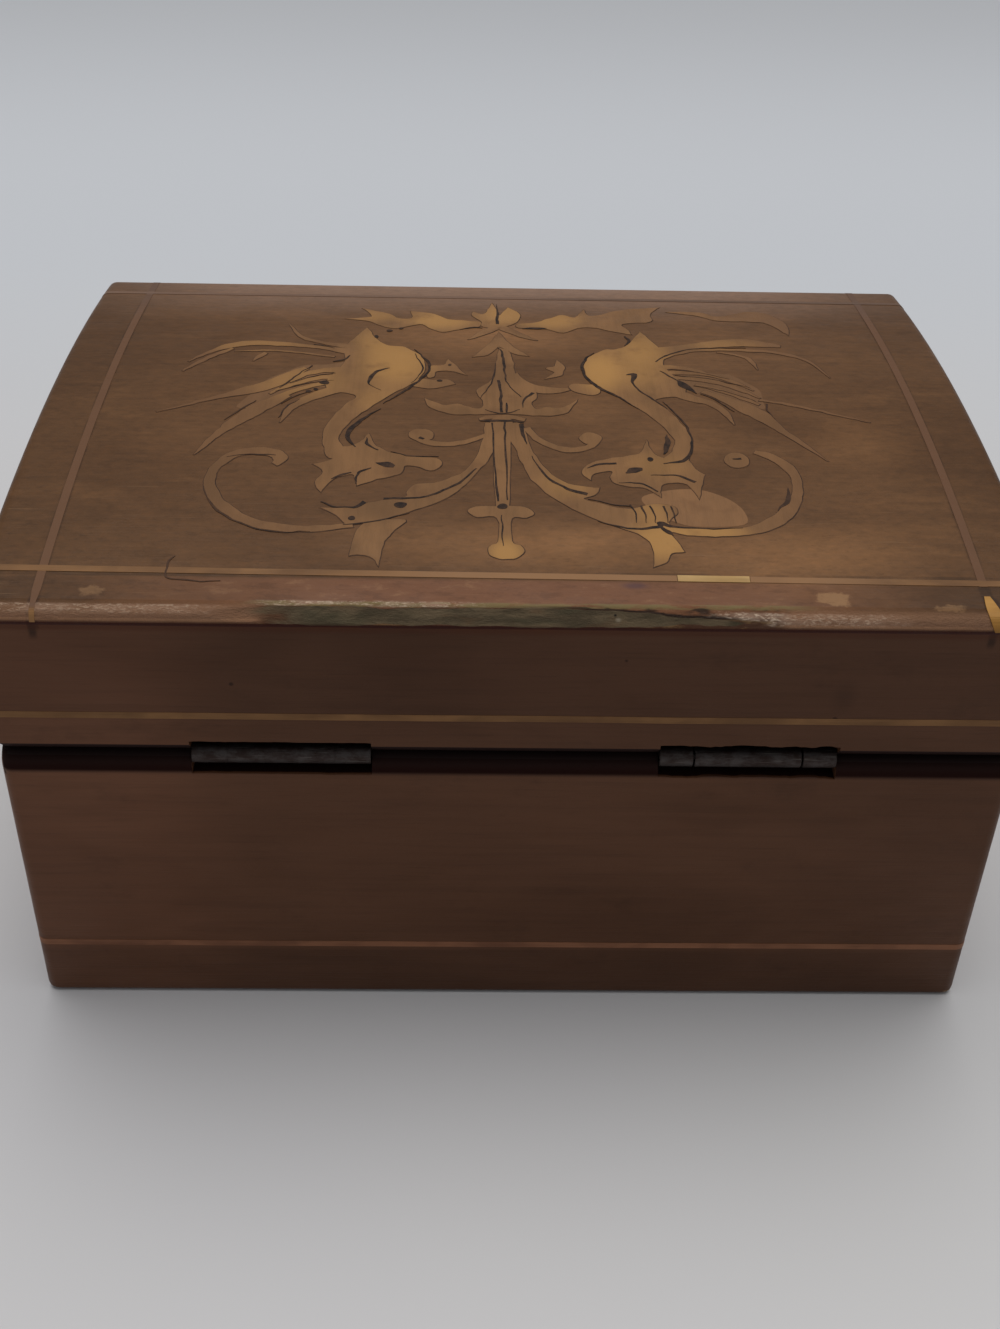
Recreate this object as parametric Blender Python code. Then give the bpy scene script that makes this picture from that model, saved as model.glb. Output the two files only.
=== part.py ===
"""Inlaid wooden puzzle box: a body with a false floor, a domed lid on two butt hinges,
a box lock hidden behind a sliding facing board, and a key drawer behind the right end.

Frame: origin at the middle of the footprint, +Z up, +X along the length.
The hinge side faces -Y and the lock side faces +Y. Sizes below are in millimetres.
"""
import math

import bmesh
import bpy
from mathutils import Matrix, Vector

MM = 0.001

# Driving sizes
LID_LENGTH = 148.0
BODY_LENGTH = 147.0
DEPTH = 108.0
PARTING_Z = 49.2
LID_EDGE_Z = 73.0
DOME_RISE = 4.0
EDGE_RADIUS = 2.0
WALL = 8.0
BOTTOM_THICKNESS = 3.0
FLOOR_THICKNESS = 3.0
GAP = 0.3
STRING_WIDTH = 1.2
VENEER = 0.6
BODY_STRING_Z = 11.3
LID_STRING_Z = 57.1
SIDE_STRING_INSET = 9.1
END_STRING_INSET = 8.15
GROOVE_TOP_Z = 51.6
GROOVE_LOW_Z = 46.8

# Hinges
HINGE_LENGTH = 25.6
HINGE_X = {"left": -33.0, "right": 34.3}
HINGE_INSET = 1.6
BARREL_RADIUS = 1.5
BORE_RADIUS = 0.85
PIN_RADIUS = 0.5
LEAF_THICKNESS = 0.8
LEAF_REACH_Y = -46.6
MIDDLE_KNUCKLE = 15.4
MORTISE_TOP_Z = 52.4
MORTISE_LOW_Z = 46.5
SCREW_SPREAD = 8.5
SCREW_HEAD = 1.1
SCREW_SHANK = 0.5
SCREW_LENGTH = 5.0
SCREW_SUNK = 0.1

# Front, lock and drawer
FRONT_WALL_Y = (42.0, 50.0)
FACING_SEAM_X = -12.0
FACING_TRAVEL = 25.0
FACING_TONGUE = (-5.0, 45.0)
BASE_TRAVEL = 20.0
BASE_TONGUE = (-45.0, 50.0)
LOCK_HALF_WIDTH = 14.0
LOCK_Y = (44.0, 49.7)
LOCK_LOW_Z = 32.0
LOCK_BACK = 1.0
LOCK_FACE = 0.8
KEYHOLE_Z = 37.0
KEYHOLE_RADIUS = 1.8
KEYHOLE_SLOT = (0.9, 4.2)
LOOP_X = (-8.0, 5.0)
LOOP_HALF_WIDTH = 0.6
LOOP_Y = (45.4, 48.2)
LOOP_EYE_Y = (45.9, 47.5)
LOOP_EYE_Z = (42.7, 45.2)
LOOP_LOW_Z = 42.0
BOLT_X = (-3.4, 11.6)
BOLT_Y = (46.2, 47.2)
BOLT_BAR_Z = (39.6, 41.4)
BOLT_HOOK_Z = (43.2, 44.8)
BOLT_ARM = 4.6
BOLT_ARM_WIDTH = 2.0
BOLT_HOOK = 3.5
STRIKE_HALF_WIDTH = 13.0
STRIKE_Y = (44.8, 49.6)
STRIKE_THICKNESS = 1.0
STRIKE_SCREW_X = 11.0
STRIKE_SCREW_Y = 47.2
DRAWER_FRONT = 5.0
TRAY_HALF_WIDTH = 15.0
TRAY_X = (28.0, 68.2)
TRAY_Z = (3.8, 10.2)
TRAY_WALL = 1.5
RUNNER_WIDTH = 4.0
KEY_X = 32.0
KEY_Y = -6.5
KEY_SHANK = 1.4
KEY_COLLAR = 1.9
KEY_COLLAR_X = 21.2
KEY_LENGTH = 23.4
KEY_BOW_X = 58.4
KEY_BOW_RADIUS = 4.4
KEY_BOW_HOLE = 2.6

# Sizes that follow
HALF_DEPTH = DEPTH / 2
HALF_LID = LID_LENGTH / 2
HALF_BODY = BODY_LENGTH / 2
BODY_TOP = PARTING_Z - GAP / 2
LID_BOTTOM = PARTING_Z + GAP / 2
INNER_REAR_Y = -HALF_DEPTH + WALL
INNER_X = HALF_BODY - WALL
HINGE_Y = -HALF_DEPTH + HINGE_INSET
DOME_RADIUS = (HALF_DEPTH ** 2 + DOME_RISE ** 2) / (2 * DOME_RISE)
EDGE_CENTRE_Y = HALF_DEPTH - EDGE_RADIUS
DOME_CENTRE_Z = LID_EDGE_Z - math.sqrt((DOME_RADIUS - EDGE_RADIUS) ** 2 - EDGE_CENTRE_Y ** 2)
RAIL_TOP = 67.0
BOARD_THICKNESS = 5.0
FACING_Y = (FRONT_WALL_Y[1] + GAP, HALF_DEPTH)
STRIP_TOP = BODY_STRING_Z - STRING_WIDTH / 2 - GAP
FACING_LOW_Z = BODY_STRING_Z + STRING_WIDTH / 2 + GAP
LID_FRONT_RAIL_Y = 44.0
FIELD_X = HALF_LID - SIDE_STRING_INSET
FIELD_Y = HALF_DEPTH - END_STRING_INSET

MATERIALS = {
    "dark_walnut": ((0.085, 0.050, 0.034), 0.45, 0.0),
    "brown_walnut": ((0.20, 0.125, 0.080), 0.35, 0.0),
    "light_inlay": ((0.42, 0.26, 0.13), 0.35, 0.0),
    "string_wood": ((0.30, 0.19, 0.10), 0.40, 0.0),
    "plain_wood": ((0.45, 0.31, 0.18), 0.60, 0.0),
    "steel": ((0.13, 0.12, 0.11), 0.45, 1.0),
}


def clear_scene():
    for old in list(bpy.data.objects):
        bpy.data.objects.remove(old, do_unlink=True)


def material(name):
    found = bpy.data.materials.get(name)
    if found:
        return found
    colour, roughness, metallic = MATERIALS[name]
    made = bpy.data.materials.new(name)
    made.use_nodes = True
    shader = made.node_tree.nodes["Principled BSDF"]
    shader.inputs["Base Color"].default_value = (*colour, 1.0)
    shader.inputs["Roughness"].default_value = roughness
    shader.inputs["Metallic"].default_value = metallic
    made.diffuse_color = (*colour, 1.0)
    return made


class Group:
    """An empty on a joint's axis, with the pieces that move about it."""

    def __init__(self, name, position):
        self.position = Vector(position) * MM
        self.empty = bpy.data.objects.new(name, None)
        self.empty.location = self.position
        bpy.context.scene.collection.objects.link(self.empty)


def add_object(name, shape, wood, group=None):
    """Turn a bmesh drawn in millimetres into an object that hangs on its group's empty."""
    origin = group.position if group else Vector((0, 0, 0))
    bmesh.ops.transform(shape, matrix=Matrix.Scale(MM, 4), verts=shape.verts)
    bmesh.ops.translate(shape, vec=-origin, verts=shape.verts)
    bmesh.ops.recalc_face_normals(shape, faces=shape.faces)
    mesh = bpy.data.meshes.new(name)
    shape.to_mesh(mesh)
    shape.free()
    made = bpy.data.objects.new(name, mesh)
    bpy.context.scene.collection.objects.link(made)
    if wood:
        mesh.materials.append(material(wood))
    if group:
        made.parent = group.empty
    return made


PLANES = {
    "X": lambda a, b, along: (along, a, b),
    "Y": lambda a, b, along: (a, along, b),
    "Z": lambda a, b, along: (a, b, along),
}


def prism_shape(outline, axis, start, end):
    shape = bmesh.new()
    place = PLANES[axis]
    near = [shape.verts.new(place(a, b, start)) for a, b in outline]
    far = [shape.verts.new(place(a, b, end)) for a, b in outline]
    shape.faces.new(near)
    shape.faces.new(reversed(far))
    for i in range(len(outline)):
        j = (i + 1) % len(outline)
        shape.faces.new((near[j], near[i], far[i], far[j]))
    return shape


def prism(name, outline, axis, start, end, wood, group=None):
    return add_object(name, prism_shape(outline, axis, start, end), wood, group)


def rectangle(low, high):
    return [(low[0], low[1]), (high[0], low[1]), (high[0], high[1]), (low[0], high[1])]


def block(name, low, high, wood, group=None):
    return prism(name, rectangle(low[:2], high[:2]), "Z", low[2], high[2], wood, group)


def circle(centre, radius, count=16):
    turns = [2 * math.pi * (i + 0.5) / count for i in range(count)]
    return [(centre[0] + radius * math.cos(t), centre[1] + radius * math.sin(t)) for t in turns]


def tool(made):
    made.hide_render = True
    made.display_type = "WIRE"
    return made


def apply_tool(target, made, operation="DIFFERENCE"):
    """Shape a piece with another one that is only a tool."""
    tool(made)
    modifier = target.modifiers.new(made.name, "BOOLEAN")
    modifier.operation = operation
    modifier.object = made
    modifier.solver = "EXACT"


def cut_block(target, name, low, high, operation="DIFFERENCE"):
    apply_tool(target, block(name, low, high, None), operation)


def cut_prism(target, name, outline, axis, start, end, operation="DIFFERENCE"):
    apply_tool(target, prism(name, outline, axis, start, end, None), operation)


def turned(name, profile, position, direction, wood, group=None, count=12):
    """A solid of revolution: (radius, height) pairs, first and last on the axis."""
    shape = bmesh.new()
    rings = []
    for radius, height in profile:
        if radius == 0:
            rings.append([shape.verts.new((0, 0, height))])
            continue
        turns = [2 * math.pi * i / count for i in range(count)]
        ring = [(radius * math.cos(t), radius * math.sin(t), height) for t in turns]
        rings.append([shape.verts.new(point) for point in ring])
    for low, high in zip(rings, rings[1:]):
        for i in range(count):
            j = (i + 1) % count
            corners = [low[i % len(low)], low[j % len(low)], high[j % len(high)], high[i % len(high)]]
            shape.faces.new(list(dict.fromkeys(corners)))
    turn = Vector((0, 0, 1)).rotation_difference(Vector(direction)).to_matrix().to_4x4()
    bmesh.ops.transform(shape, matrix=Matrix.Translation(position) @ turn, verts=shape.verts)
    made = add_object(name, shape, wood, group)
    made.data.shade_smooth()
    made.data.set_sharp_from_angle(angle=math.radians(35))
    return made


# ---------------------------------------------------------------- the domed surface

def dome_z(y, inset=0.0):
    return DOME_CENTRE_Z + math.sqrt((DOME_RADIUS - inset) ** 2 - y * y)


def dome_arc(low_y, high_y, inset, steps=10):
    ys = [low_y + (high_y - low_y) * i / steps for i in range(steps + 1)]
    return [(y, dome_z(y, inset)) for y in ys]


def edge_arc(inset, steps=4):
    """The rounded rear edge, from its upright face up to where it meets the dome."""
    end = math.atan2(LID_EDGE_Z - DOME_CENTRE_Z, -EDGE_CENTRE_Y)
    turns = [math.pi + (end - math.pi) * i / steps for i in range(steps + 1)]
    radius = EDGE_RADIUS - inset
    return [(-EDGE_CENTRE_Y + radius * math.cos(t), LID_EDGE_Z + radius * math.sin(t)) for t in turns]


def lid_outline(inset):
    """The lid's outer line from rear to front: rounded edge, dome, rounded edge."""
    rear = edge_arc(inset)
    front = [(-y, z) for y, z in reversed(rear)]
    return rear + dome_arc(rear[-1][0], front[0][0], inset)[1:-1] + front


def dome_slab(half_y, outer, inner):
    return dome_arc(-half_y, half_y, outer) + list(reversed(dome_arc(-half_y, half_y, inner)))


# ---------------------------------------------------------------- the body

def t_slot(centre_z, neck, head, neck_y, head_y):
    """A T-shaped section in the Y-Z plane: its neck reaches the facing side."""
    return [
        (neck_y[1], centre_z - neck), (neck_y[1], centre_z + neck),
        (head_y[1], centre_z + neck), (head_y[1], centre_z + head),
        (head_y[0], centre_z + head), (head_y[0], centre_z - head),
        (head_y[1], centre_z - head), (head_y[1], centre_z - neck),
    ]


TONGUES = {"facing": (22.0, 2.0, 4.0), "base": (5.6, 1.2, 2.4)}


def tongue_and_groove(kind):
    """Matching T sections for a sliding piece and for the front wall."""
    centre, neck, head = TONGUES[kind]
    face = FRONT_WALL_Y[1]
    tongue = t_slot(centre, neck, head, (0, face + 1.0), (face - 4.0, face - 2.2))
    groove = t_slot(centre, neck + GAP, head + GAP, (0, face + 1.0), (face - 4.0 - GAP, face - 2.2 + GAP))
    return tongue, groove


def make_body():
    block("base_board", (-INNER_X + GAP, INNER_REAR_Y + GAP, 0),
          (INNER_X - GAP, FRONT_WALL_Y[0] - GAP, BOTTOM_THICKNESS), "plain_wood")
    block("compartment_floor", (-INNER_X + GAP, INNER_REAR_Y + GAP, STRIP_TOP + GAP),
          (INNER_X - GAP, FRONT_WALL_Y[0] - GAP, STRIP_TOP + GAP + FLOOR_THICKNESS), "plain_wood")
    slope = BODY_TOP - GROOVE_LOW_Z
    rear = prism("rear_wall", [(-HALF_DEPTH, 0), (INNER_REAR_Y, 0), (INNER_REAR_Y, BODY_TOP),
                               (-HALF_DEPTH + slope, BODY_TOP), (-HALF_DEPTH, GROOVE_LOW_Z)],
                 "X", -HALF_BODY, HALF_BODY, "dark_walnut")
    left = block("left_wall", (-HALF_BODY, INNER_REAR_Y + GAP, 0),
                 (-INNER_X, FRONT_WALL_Y[0] - GAP, BODY_TOP), "dark_walnut")
    right = block("right_wall", (INNER_X, INNER_REAR_Y + GAP, 0),
                  (HALF_BODY, FRONT_WALL_Y[0] - GAP, BODY_TOP), "dark_walnut")
    cut_block(right, "drawer_front_recess", (HALF_BODY - DRAWER_FRONT, -HALF_DEPTH, -1),
              (HALF_BODY + 1, HALF_DEPTH, STRIP_TOP + GAP))
    cut_block(right, "tray_opening", (INNER_X - 1, -TRAY_HALF_WIDTH - GAP, TRAY_Z[0] - GAP),
              (HALF_BODY, TRAY_HALF_WIDTH + GAP, TRAY_Z[1] + GAP))
    front = block("front_wall", (-HALF_BODY, FRONT_WALL_Y[0], 0), (HALF_BODY, FRONT_WALL_Y[1], BODY_TOP),
                  "plain_wood")
    cut_block(front, "lock_pocket", (-LOCK_HALF_WIDTH - GAP, LOCK_Y[0] - GAP, LOCK_LOW_Z - GAP),
              (LOCK_HALF_WIDTH + GAP, HALF_DEPTH, BODY_TOP + 1))
    cut_prism(front, "facing_groove", tongue_and_groove("facing")[1], "X",
              FACING_TONGUE[0] - GAP, FACING_TONGUE[1] + FACING_TRAVEL + GAP)
    cut_prism(front, "base_groove", tongue_and_groove("base")[1], "X",
              BASE_TONGUE[0] - BASE_TRAVEL - GAP, BASE_TONGUE[1] + GAP)
    block("front_facing_fixed", (-HALF_BODY, FACING_Y[0], FACING_LOW_Z),
          (FACING_SEAM_X - GAP / 2, FACING_Y[1], BODY_TOP), "dark_walnut")
    block("front_guide_string", (-HALF_BODY, FACING_Y[0], BODY_STRING_Z - STRING_WIDTH / 2),
          (HALF_BODY, FACING_Y[1], BODY_STRING_Z + STRING_WIDTH / 2), "string_wood")
    for name, side in (("drawer_runner_rear", -1), ("drawer_runner_front", 1)):
        ys = sorted((side * (TRAY_HALF_WIDTH + GAP), side * (TRAY_HALF_WIDTH + RUNNER_WIDTH)))
        block(name, (TRAY_X[0] - RUNNER_WIDTH, ys[0], BOTTOM_THICKNESS + GAP),
              (INNER_X - GAP, ys[1], STRIP_TOP), "plain_wood")
    return rear, left, right


def string_band(name, wall, z, low, high, axis, side, group=None):
    """A light line let into a wall's outer face, and the groove that holds it."""
    half = STRING_WIDTH / 2
    face = {"X": 0, "Y": 1}[axis]
    outer = side * {"X": HALF_LID if group else HALF_BODY, "Y": HALF_DEPTH}[axis]

    def box_corners(depth, margin, past):
        ends = sorted((outer + side * past, outer - side * depth))
        spans = [(low - margin, high + margin)] * 2
        spans[face] = tuple(ends)
        return (spans[0][0], spans[1][0], z - half - margin), (spans[0][1], spans[1][1], z + half + margin)

    block(name, *box_corners(VENEER, 0, 0), "string_wood", group)
    cut_block(wall, name + "_groove", *box_corners(VENEER + GAP, GAP, 1.0))


# ---------------------------------------------------------------- secret sliders, drawer and key

def make_sliders():
    panel = Group("facing_slide_axis", (0, HALF_DEPTH, 30))
    sliding = block("front_facing_sliding", (FACING_SEAM_X + GAP / 2, FACING_Y[0], FACING_LOW_Z),
                    (HALF_BODY, FACING_Y[1], BODY_TOP), "dark_walnut", panel)
    cut_prism(sliding, "facing_tongue", tongue_and_groove("facing")[0], "X", *FACING_TONGUE, "UNION")
    strip_group = Group("base_strip_slide_axis", (0, HALF_DEPTH, 5))
    strip = block("front_base_strip", (-HALF_BODY, FACING_Y[0], GAP), (HALF_BODY, FACING_Y[1], STRIP_TOP),
                  "dark_walnut", strip_group)
    cut_prism(strip, "base_tongue", tongue_and_groove("base")[0], "X", *BASE_TONGUE, "UNION")


def make_drawer():
    drawer = Group("drawer_slide_axis", (HALF_BODY, 0, 5))
    front = block("drawer_front", (HALF_BODY - DRAWER_FRONT + GAP, INNER_REAR_Y + 2 * GAP, GAP),
                  (HALF_BODY, FRONT_WALL_Y[0] - 2 * GAP, STRIP_TOP), "dark_walnut", drawer)
    cut_block(front, "finger_notch", (HALF_BODY - 3.0, FRONT_WALL_Y[0] - 6.0, 4.0),
              (HALF_BODY - 1.2, FRONT_WALL_Y[0] + 1.0, 8.0))
    tray = block("drawer_tray", (TRAY_X[0], -TRAY_HALF_WIDTH, TRAY_Z[0]),
                 (TRAY_X[1], TRAY_HALF_WIDTH, TRAY_Z[1]), "plain_wood", drawer)
    cut_block(tray, "tray_hollow",
              (TRAY_X[0] + TRAY_WALL, -TRAY_HALF_WIDTH + TRAY_WALL, TRAY_Z[0] + TRAY_WALL),
              (TRAY_X[1] - TRAY_WALL, TRAY_HALF_WIDTH - TRAY_WALL, TRAY_Z[1] + 1))
    make_key(drawer)


def make_key(drawer):
    """A small barrel key lying in the tray, its bow towards the drawer's front."""
    z = TRAY_Z[0] + TRAY_WALL + GAP + KEY_COLLAR
    profile = [(0, 0), (KEY_SHANK, 0), (KEY_SHANK, KEY_COLLAR_X - 0.2), (KEY_COLLAR, KEY_COLLAR_X),
               (KEY_COLLAR, KEY_COLLAR_X + 1.0), (KEY_SHANK, KEY_COLLAR_X + 1.2),
               (KEY_SHANK, KEY_LENGTH), (0, KEY_LENGTH)]
    key = turned("key", profile, (KEY_X, KEY_Y, z), (1, 0, 0), "steel", drawer)
    bow = circle((KEY_BOW_X, KEY_Y), KEY_BOW_RADIUS, 20)
    cut_prism(key, "key_bow", bow, "Z", z - 0.9, z + 0.9, "UNION")
    cut_block(key, "key_bit", (KEY_X + 0.8, KEY_Y + 0.4, z - 0.6),
              (KEY_X + 4.4, KEY_Y + 4.6, z + 0.6), "UNION")
    hole = circle((KEY_BOW_X + 0.4, KEY_Y), KEY_BOW_HOLE, 16)
    cut_prism(key, "key_bow_hole", hole, "Z", z - 3, z + 3)
    cut_block(key, "key_bit_notch", (KEY_X + 2.2, KEY_Y + 2.8, z - 2), (KEY_X + 3.0, KEY_Y + 6, z + 2))


# ---------------------------------------------------------------- lock

def make_lock(lid_front_rail, lid):
    low, high = -LOCK_HALF_WIDTH, LOCK_HALF_WIDTH
    top = BODY_TOP - GAP
    face = LOCK_Y[1]
    case = block("lock_case", (low, LOCK_Y[0], LOCK_LOW_Z), (high, face, top), "steel")
    cut_block(case, "lock_cavity", (low + LOCK_BACK, LOCK_Y[0] + LOCK_BACK, LOCK_LOW_Z + LOCK_BACK),
              (high - LOCK_BACK, face - LOCK_FACE, top - LOCK_BACK))
    for i, x in enumerate(LOOP_X):
        reach = LOOP_HALF_WIDTH + 0.5
        cut_block(case, f"loop_slot_{i}", (x - reach, LOOP_Y[0] - GAP, top - 2),
                  (x + reach, LOOP_Y[1] + 0.5, top + 1))
    cut_prism(case, "keyhole_round", circle((0, KEYHOLE_Z), KEYHOLE_RADIUS, 12), "Y", face - 2, face + 1)
    slot, drop = KEYHOLE_SLOT
    cut_block(case, "keyhole_slot", (-slot, face - 2, KEYHOLE_Z - drop), (slot, face + 1, KEYHOLE_Z))
    bolt_group = Group("bolt_slide_axis", (0, (BOLT_Y[0] + BOLT_Y[1]) / 2, 42))
    bolt = block("lock_bolt", (BOLT_X[0], BOLT_Y[0], BOLT_BAR_Z[0]),
                 (BOLT_X[1], BOLT_Y[1], BOLT_BAR_Z[1]), "steel", bolt_group)
    for i, x in enumerate(LOOP_X):
        arm = x + BOLT_ARM
        cut_block(bolt, f"bolt_arm_{i}", (arm, BOLT_Y[0], BOLT_BAR_Z[1] - 0.4),
                  (arm + BOLT_ARM_WIDTH, BOLT_Y[1], BOLT_HOOK_Z[1]), "UNION")
        cut_block(bolt, f"bolt_prong_{i}", (arm - BOLT_HOOK, BOLT_Y[0], BOLT_HOOK_Z[0]),
                  (arm + BOLT_ARM_WIDTH / 2, BOLT_Y[1], BOLT_HOOK_Z[1]), "UNION")
    make_strike_plate(lid_front_rail, lid)


def make_strike_plate(rail, lid):
    half = STRIKE_HALF_WIDTH
    top = LID_BOTTOM + STRIKE_THICKNESS
    plate = block("strike_plate", (-half, STRIKE_Y[0], LID_BOTTOM), (half, STRIKE_Y[1], top), "steel", lid)
    cut_block(rail, "strike_pocket", (-half - GAP, LID_FRONT_RAIL_Y - 1, LID_BOTTOM - 1),
              (half + GAP, STRIKE_Y[1] + GAP, top + GAP))
    for i, x in enumerate(LOOP_X):
        cut_block(plate, f"strike_loop_{i}", (x - LOOP_HALF_WIDTH, LOOP_Y[0], LOOP_LOW_Z),
                  (x + LOOP_HALF_WIDTH, LOOP_Y[1], LID_BOTTOM + 0.5), "UNION")
        cut_block(plate, f"strike_loop_hole_{i}", (x - 2, LOOP_EYE_Y[0], LOOP_EYE_Z[0]),
                  (x + 2, LOOP_EYE_Y[1], LOOP_EYE_Z[1]))
    for side, x in (("left", -STRIKE_SCREW_X), ("right", STRIKE_SCREW_X)):
        name = f"strike_screw_{side}"
        place = (x, STRIKE_SCREW_Y, LID_BOTTOM + SCREW_SUNK)
        make_screw(name, place, 1, lid)
        drill(plate, name + "_seat", place, 1)
        drill(rail, name + "_hole", place, 1)


# ---------------------------------------------------------------- hinges

def make_screw(name, position, up, group=None):
    """A countersunk screw whose flat head lies at position and points the other way from up."""
    profile = [(0, 0), (SCREW_HEAD, 0), (SCREW_SHANK, 0.6), (SCREW_SHANK, SCREW_LENGTH - 1),
               (0, SCREW_LENGTH)]
    screw = turned(name, profile, position, (0, 0, up), "steel", group)
    x, y, z = position
    ends = sorted((z - up * 1.0, z + up * 0.25))
    cut_block(screw, name + "_slot", (x - 2, y - 0.15, ends[0]), (x + 2, y + 0.15, ends[1]))


def drill(target, name, position, up):
    """A countersunk hole that clears a screw by the usual gap."""
    profile = [(0, -1.5), (SCREW_HEAD + GAP, -1.5), (SCREW_HEAD + GAP, 0.1), (SCREW_SHANK + GAP, 0.7),
               (SCREW_SHANK + GAP, SCREW_LENGTH + GAP), (0, SCREW_LENGTH + GAP)]
    apply_tool(target, turned(name, profile, position, (0, 0, up), None))


def make_leaf(name, centre_x, up, knuckles, group=None):
    """One leaf: a plate let into the wood, and the knuckles that it carries."""
    near = PARTING_Z + up * GAP / 2
    zs = sorted((near, near + up * LEAF_THICKNESS))
    plate_y = HINGE_Y + BARREL_RADIUS + GAP
    half = HINGE_LENGTH / 2
    leaf = block(name, (centre_x - half, plate_y, zs[0]), (centre_x + half, LEAF_REACH_Y, zs[1]),
                 "steel", group)
    for i, (low, high) in enumerate(knuckles):
        span = (centre_x + low, centre_x + high)
        cut_block(leaf, f"{name}_tab_{i}", (span[0], HINGE_Y + 1.0, zs[0] + 0.01),
                  (span[1], plate_y + 0.5, zs[1] - 0.01), "UNION")
        knuckle = circle((HINGE_Y, PARTING_Z), BARREL_RADIUS, 20)
        cut_prism(leaf, f"{name}_knuckle_{i}", knuckle, "X", *span, "UNION")
    cut_prism(leaf, f"{name}_bore", circle((HINGE_Y, PARTING_Z), BORE_RADIUS, 16), "X",
              centre_x - half - 1, centre_x + half + 1)
    return leaf


def make_hinge(side, rear_wall, lid_rear_rail, lid):
    x = HINGE_X[side]
    half = HINGE_LENGTH / 2
    middle = MIDDLE_KNUCKLE / 2
    outer = [(-half, -middle - GAP), (middle + GAP, half)]
    body_leaf = make_leaf(f"{side}_hinge_body_leaf", x, -1, outer)
    lid_leaf = make_leaf(f"{side}_hinge_lid_leaf", x, 1, [(-middle, middle)], lid)
    pin = circle((HINGE_Y, PARTING_Z), PIN_RADIUS, 12)
    prism(f"{side}_hinge_pin", pin, "X", x - half, x + half, "steel")
    clear = half + GAP / 2
    leaf_y = LEAF_REACH_Y + GAP
    barrel_y = HINGE_Y + BARREL_RADIUS + GAP
    for wall, top, low_z, high_z in ((rear_wall, False, MORTISE_LOW_Z, BODY_TOP + 1),
                                     (lid_rear_rail, True, LID_BOTTOM - 1, MORTISE_TOP_Z)):
        kind = "lid" if top else "body"
        cut_block(wall, f"{side}_{kind}_barrel_mortise", (x - clear, -HALF_DEPTH - 1, low_z),
                  (x + clear, barrel_y, high_z))
        leaf_low = LID_BOTTOM - 1 if top else BODY_TOP - LEAF_THICKNESS - GAP
        leaf_high = LID_BOTTOM + LEAF_THICKNESS + GAP if top else BODY_TOP + 1
        cut_block(wall, f"{side}_{kind}_leaf_mortise", (x - clear, barrel_y - 1, leaf_low),
                  (x + clear, leaf_y, leaf_high))
    screw_y = (barrel_y + LEAF_REACH_Y) / 2
    for end, offset in (("a", -SCREW_SPREAD), ("b", SCREW_SPREAD)):
        low_point = (x + offset, screw_y, BODY_TOP - SCREW_SUNK)
        high_point = (x + offset, screw_y, LID_BOTTOM + SCREW_SUNK)
        make_screw(f"{side}_hinge_body_screw_{end}", low_point, -1)
        make_screw(f"{side}_hinge_lid_screw_{end}", high_point, 1, lid)
        for target, point, up in ((body_leaf, low_point, -1), (rear_wall, low_point, -1),
                                  (lid_leaf, high_point, 1), (lid_rear_rail, high_point, 1)):
            drill(target, f"{target.name}_{side}_drill_{end}", point, up)


# ---------------------------------------------------------------- the lid

def make_lid(lid):
    inner = INNER_REAR_Y + 0.5
    under = dome_arc(inner, -inner, BOARD_THICKNESS)
    board_low = RAIL_TOP + GAP
    outline = ([(-HALF_DEPTH, board_low)] + lid_outline(0) + [(HALF_DEPTH, board_low), (-inner, board_low)]
               + list(reversed(under)) + [(inner, board_low)])
    top = prism("lid_top_board", outline, "X", -HALF_LID, HALF_LID, "brown_walnut", lid)
    slope = GROOVE_TOP_Z - LID_BOTTOM
    eased = [(-HALF_DEPTH + slope, LID_BOTTOM), (INNER_REAR_Y, LID_BOTTOM), (INNER_REAR_Y, RAIL_TOP),
             (-HALF_DEPTH, RAIL_TOP), (-HALF_DEPTH, GROOVE_TOP_Z)]
    rear = prism("lid_rear_rail", eased, "X", -HALF_LID, HALF_LID, "dark_walnut", lid)
    front = block("lid_front_rail", (-HALF_LID, LID_FRONT_RAIL_Y, LID_BOTTOM),
                  (HALF_LID, HALF_DEPTH, RAIL_TOP), "dark_walnut", lid)
    rails = {}
    low_y, high_y = INNER_REAR_Y + GAP, LID_FRONT_RAIL_Y - GAP
    arch = dome_arc(inner + GAP, high_y, BOARD_THICKNESS + GAP, 8)
    arched = ([(low_y, LID_BOTTOM), (high_y, LID_BOTTOM)] + list(reversed(arch))
              + [(inner + GAP, RAIL_TOP), (low_y, RAIL_TOP)])
    for side, ends in (("left", (-HALF_LID, -HALF_LID + WALL)), ("right", (HALF_LID - WALL, HALF_LID))):
        rails[side] = prism(f"lid_{side}_rail", arched, "X", *ends, "dark_walnut", lid)
    make_top_strings(top, lid)
    string_band("lid_string_rear", rear, LID_STRING_Z, -HALF_LID, HALF_LID, "Y", -1, lid)
    string_band("lid_string_front", front, LID_STRING_Z, -HALF_LID, HALF_LID, "Y", 1, lid)
    string_band("lid_string_left", rails["left"], LID_STRING_Z, low_y, high_y, "X", -1, lid)
    string_band("lid_string_right", rails["right"], LID_STRING_Z, low_y, high_y, "X", 1, lid)
    return rear, front


def wrapped_section(outer, inner, low_z):
    """A thin section that follows the dome and both rounded edges, down to low_z."""
    over = lid_outline(outer)
    under = lid_outline(inner)
    rear, front = over[0][0], over[-1][0]
    return ([(rear, low_z)] + over + [(front, low_z), (under[-1][0], low_z)]
            + list(reversed(under)) + [(under[0][0], low_z)])


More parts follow.
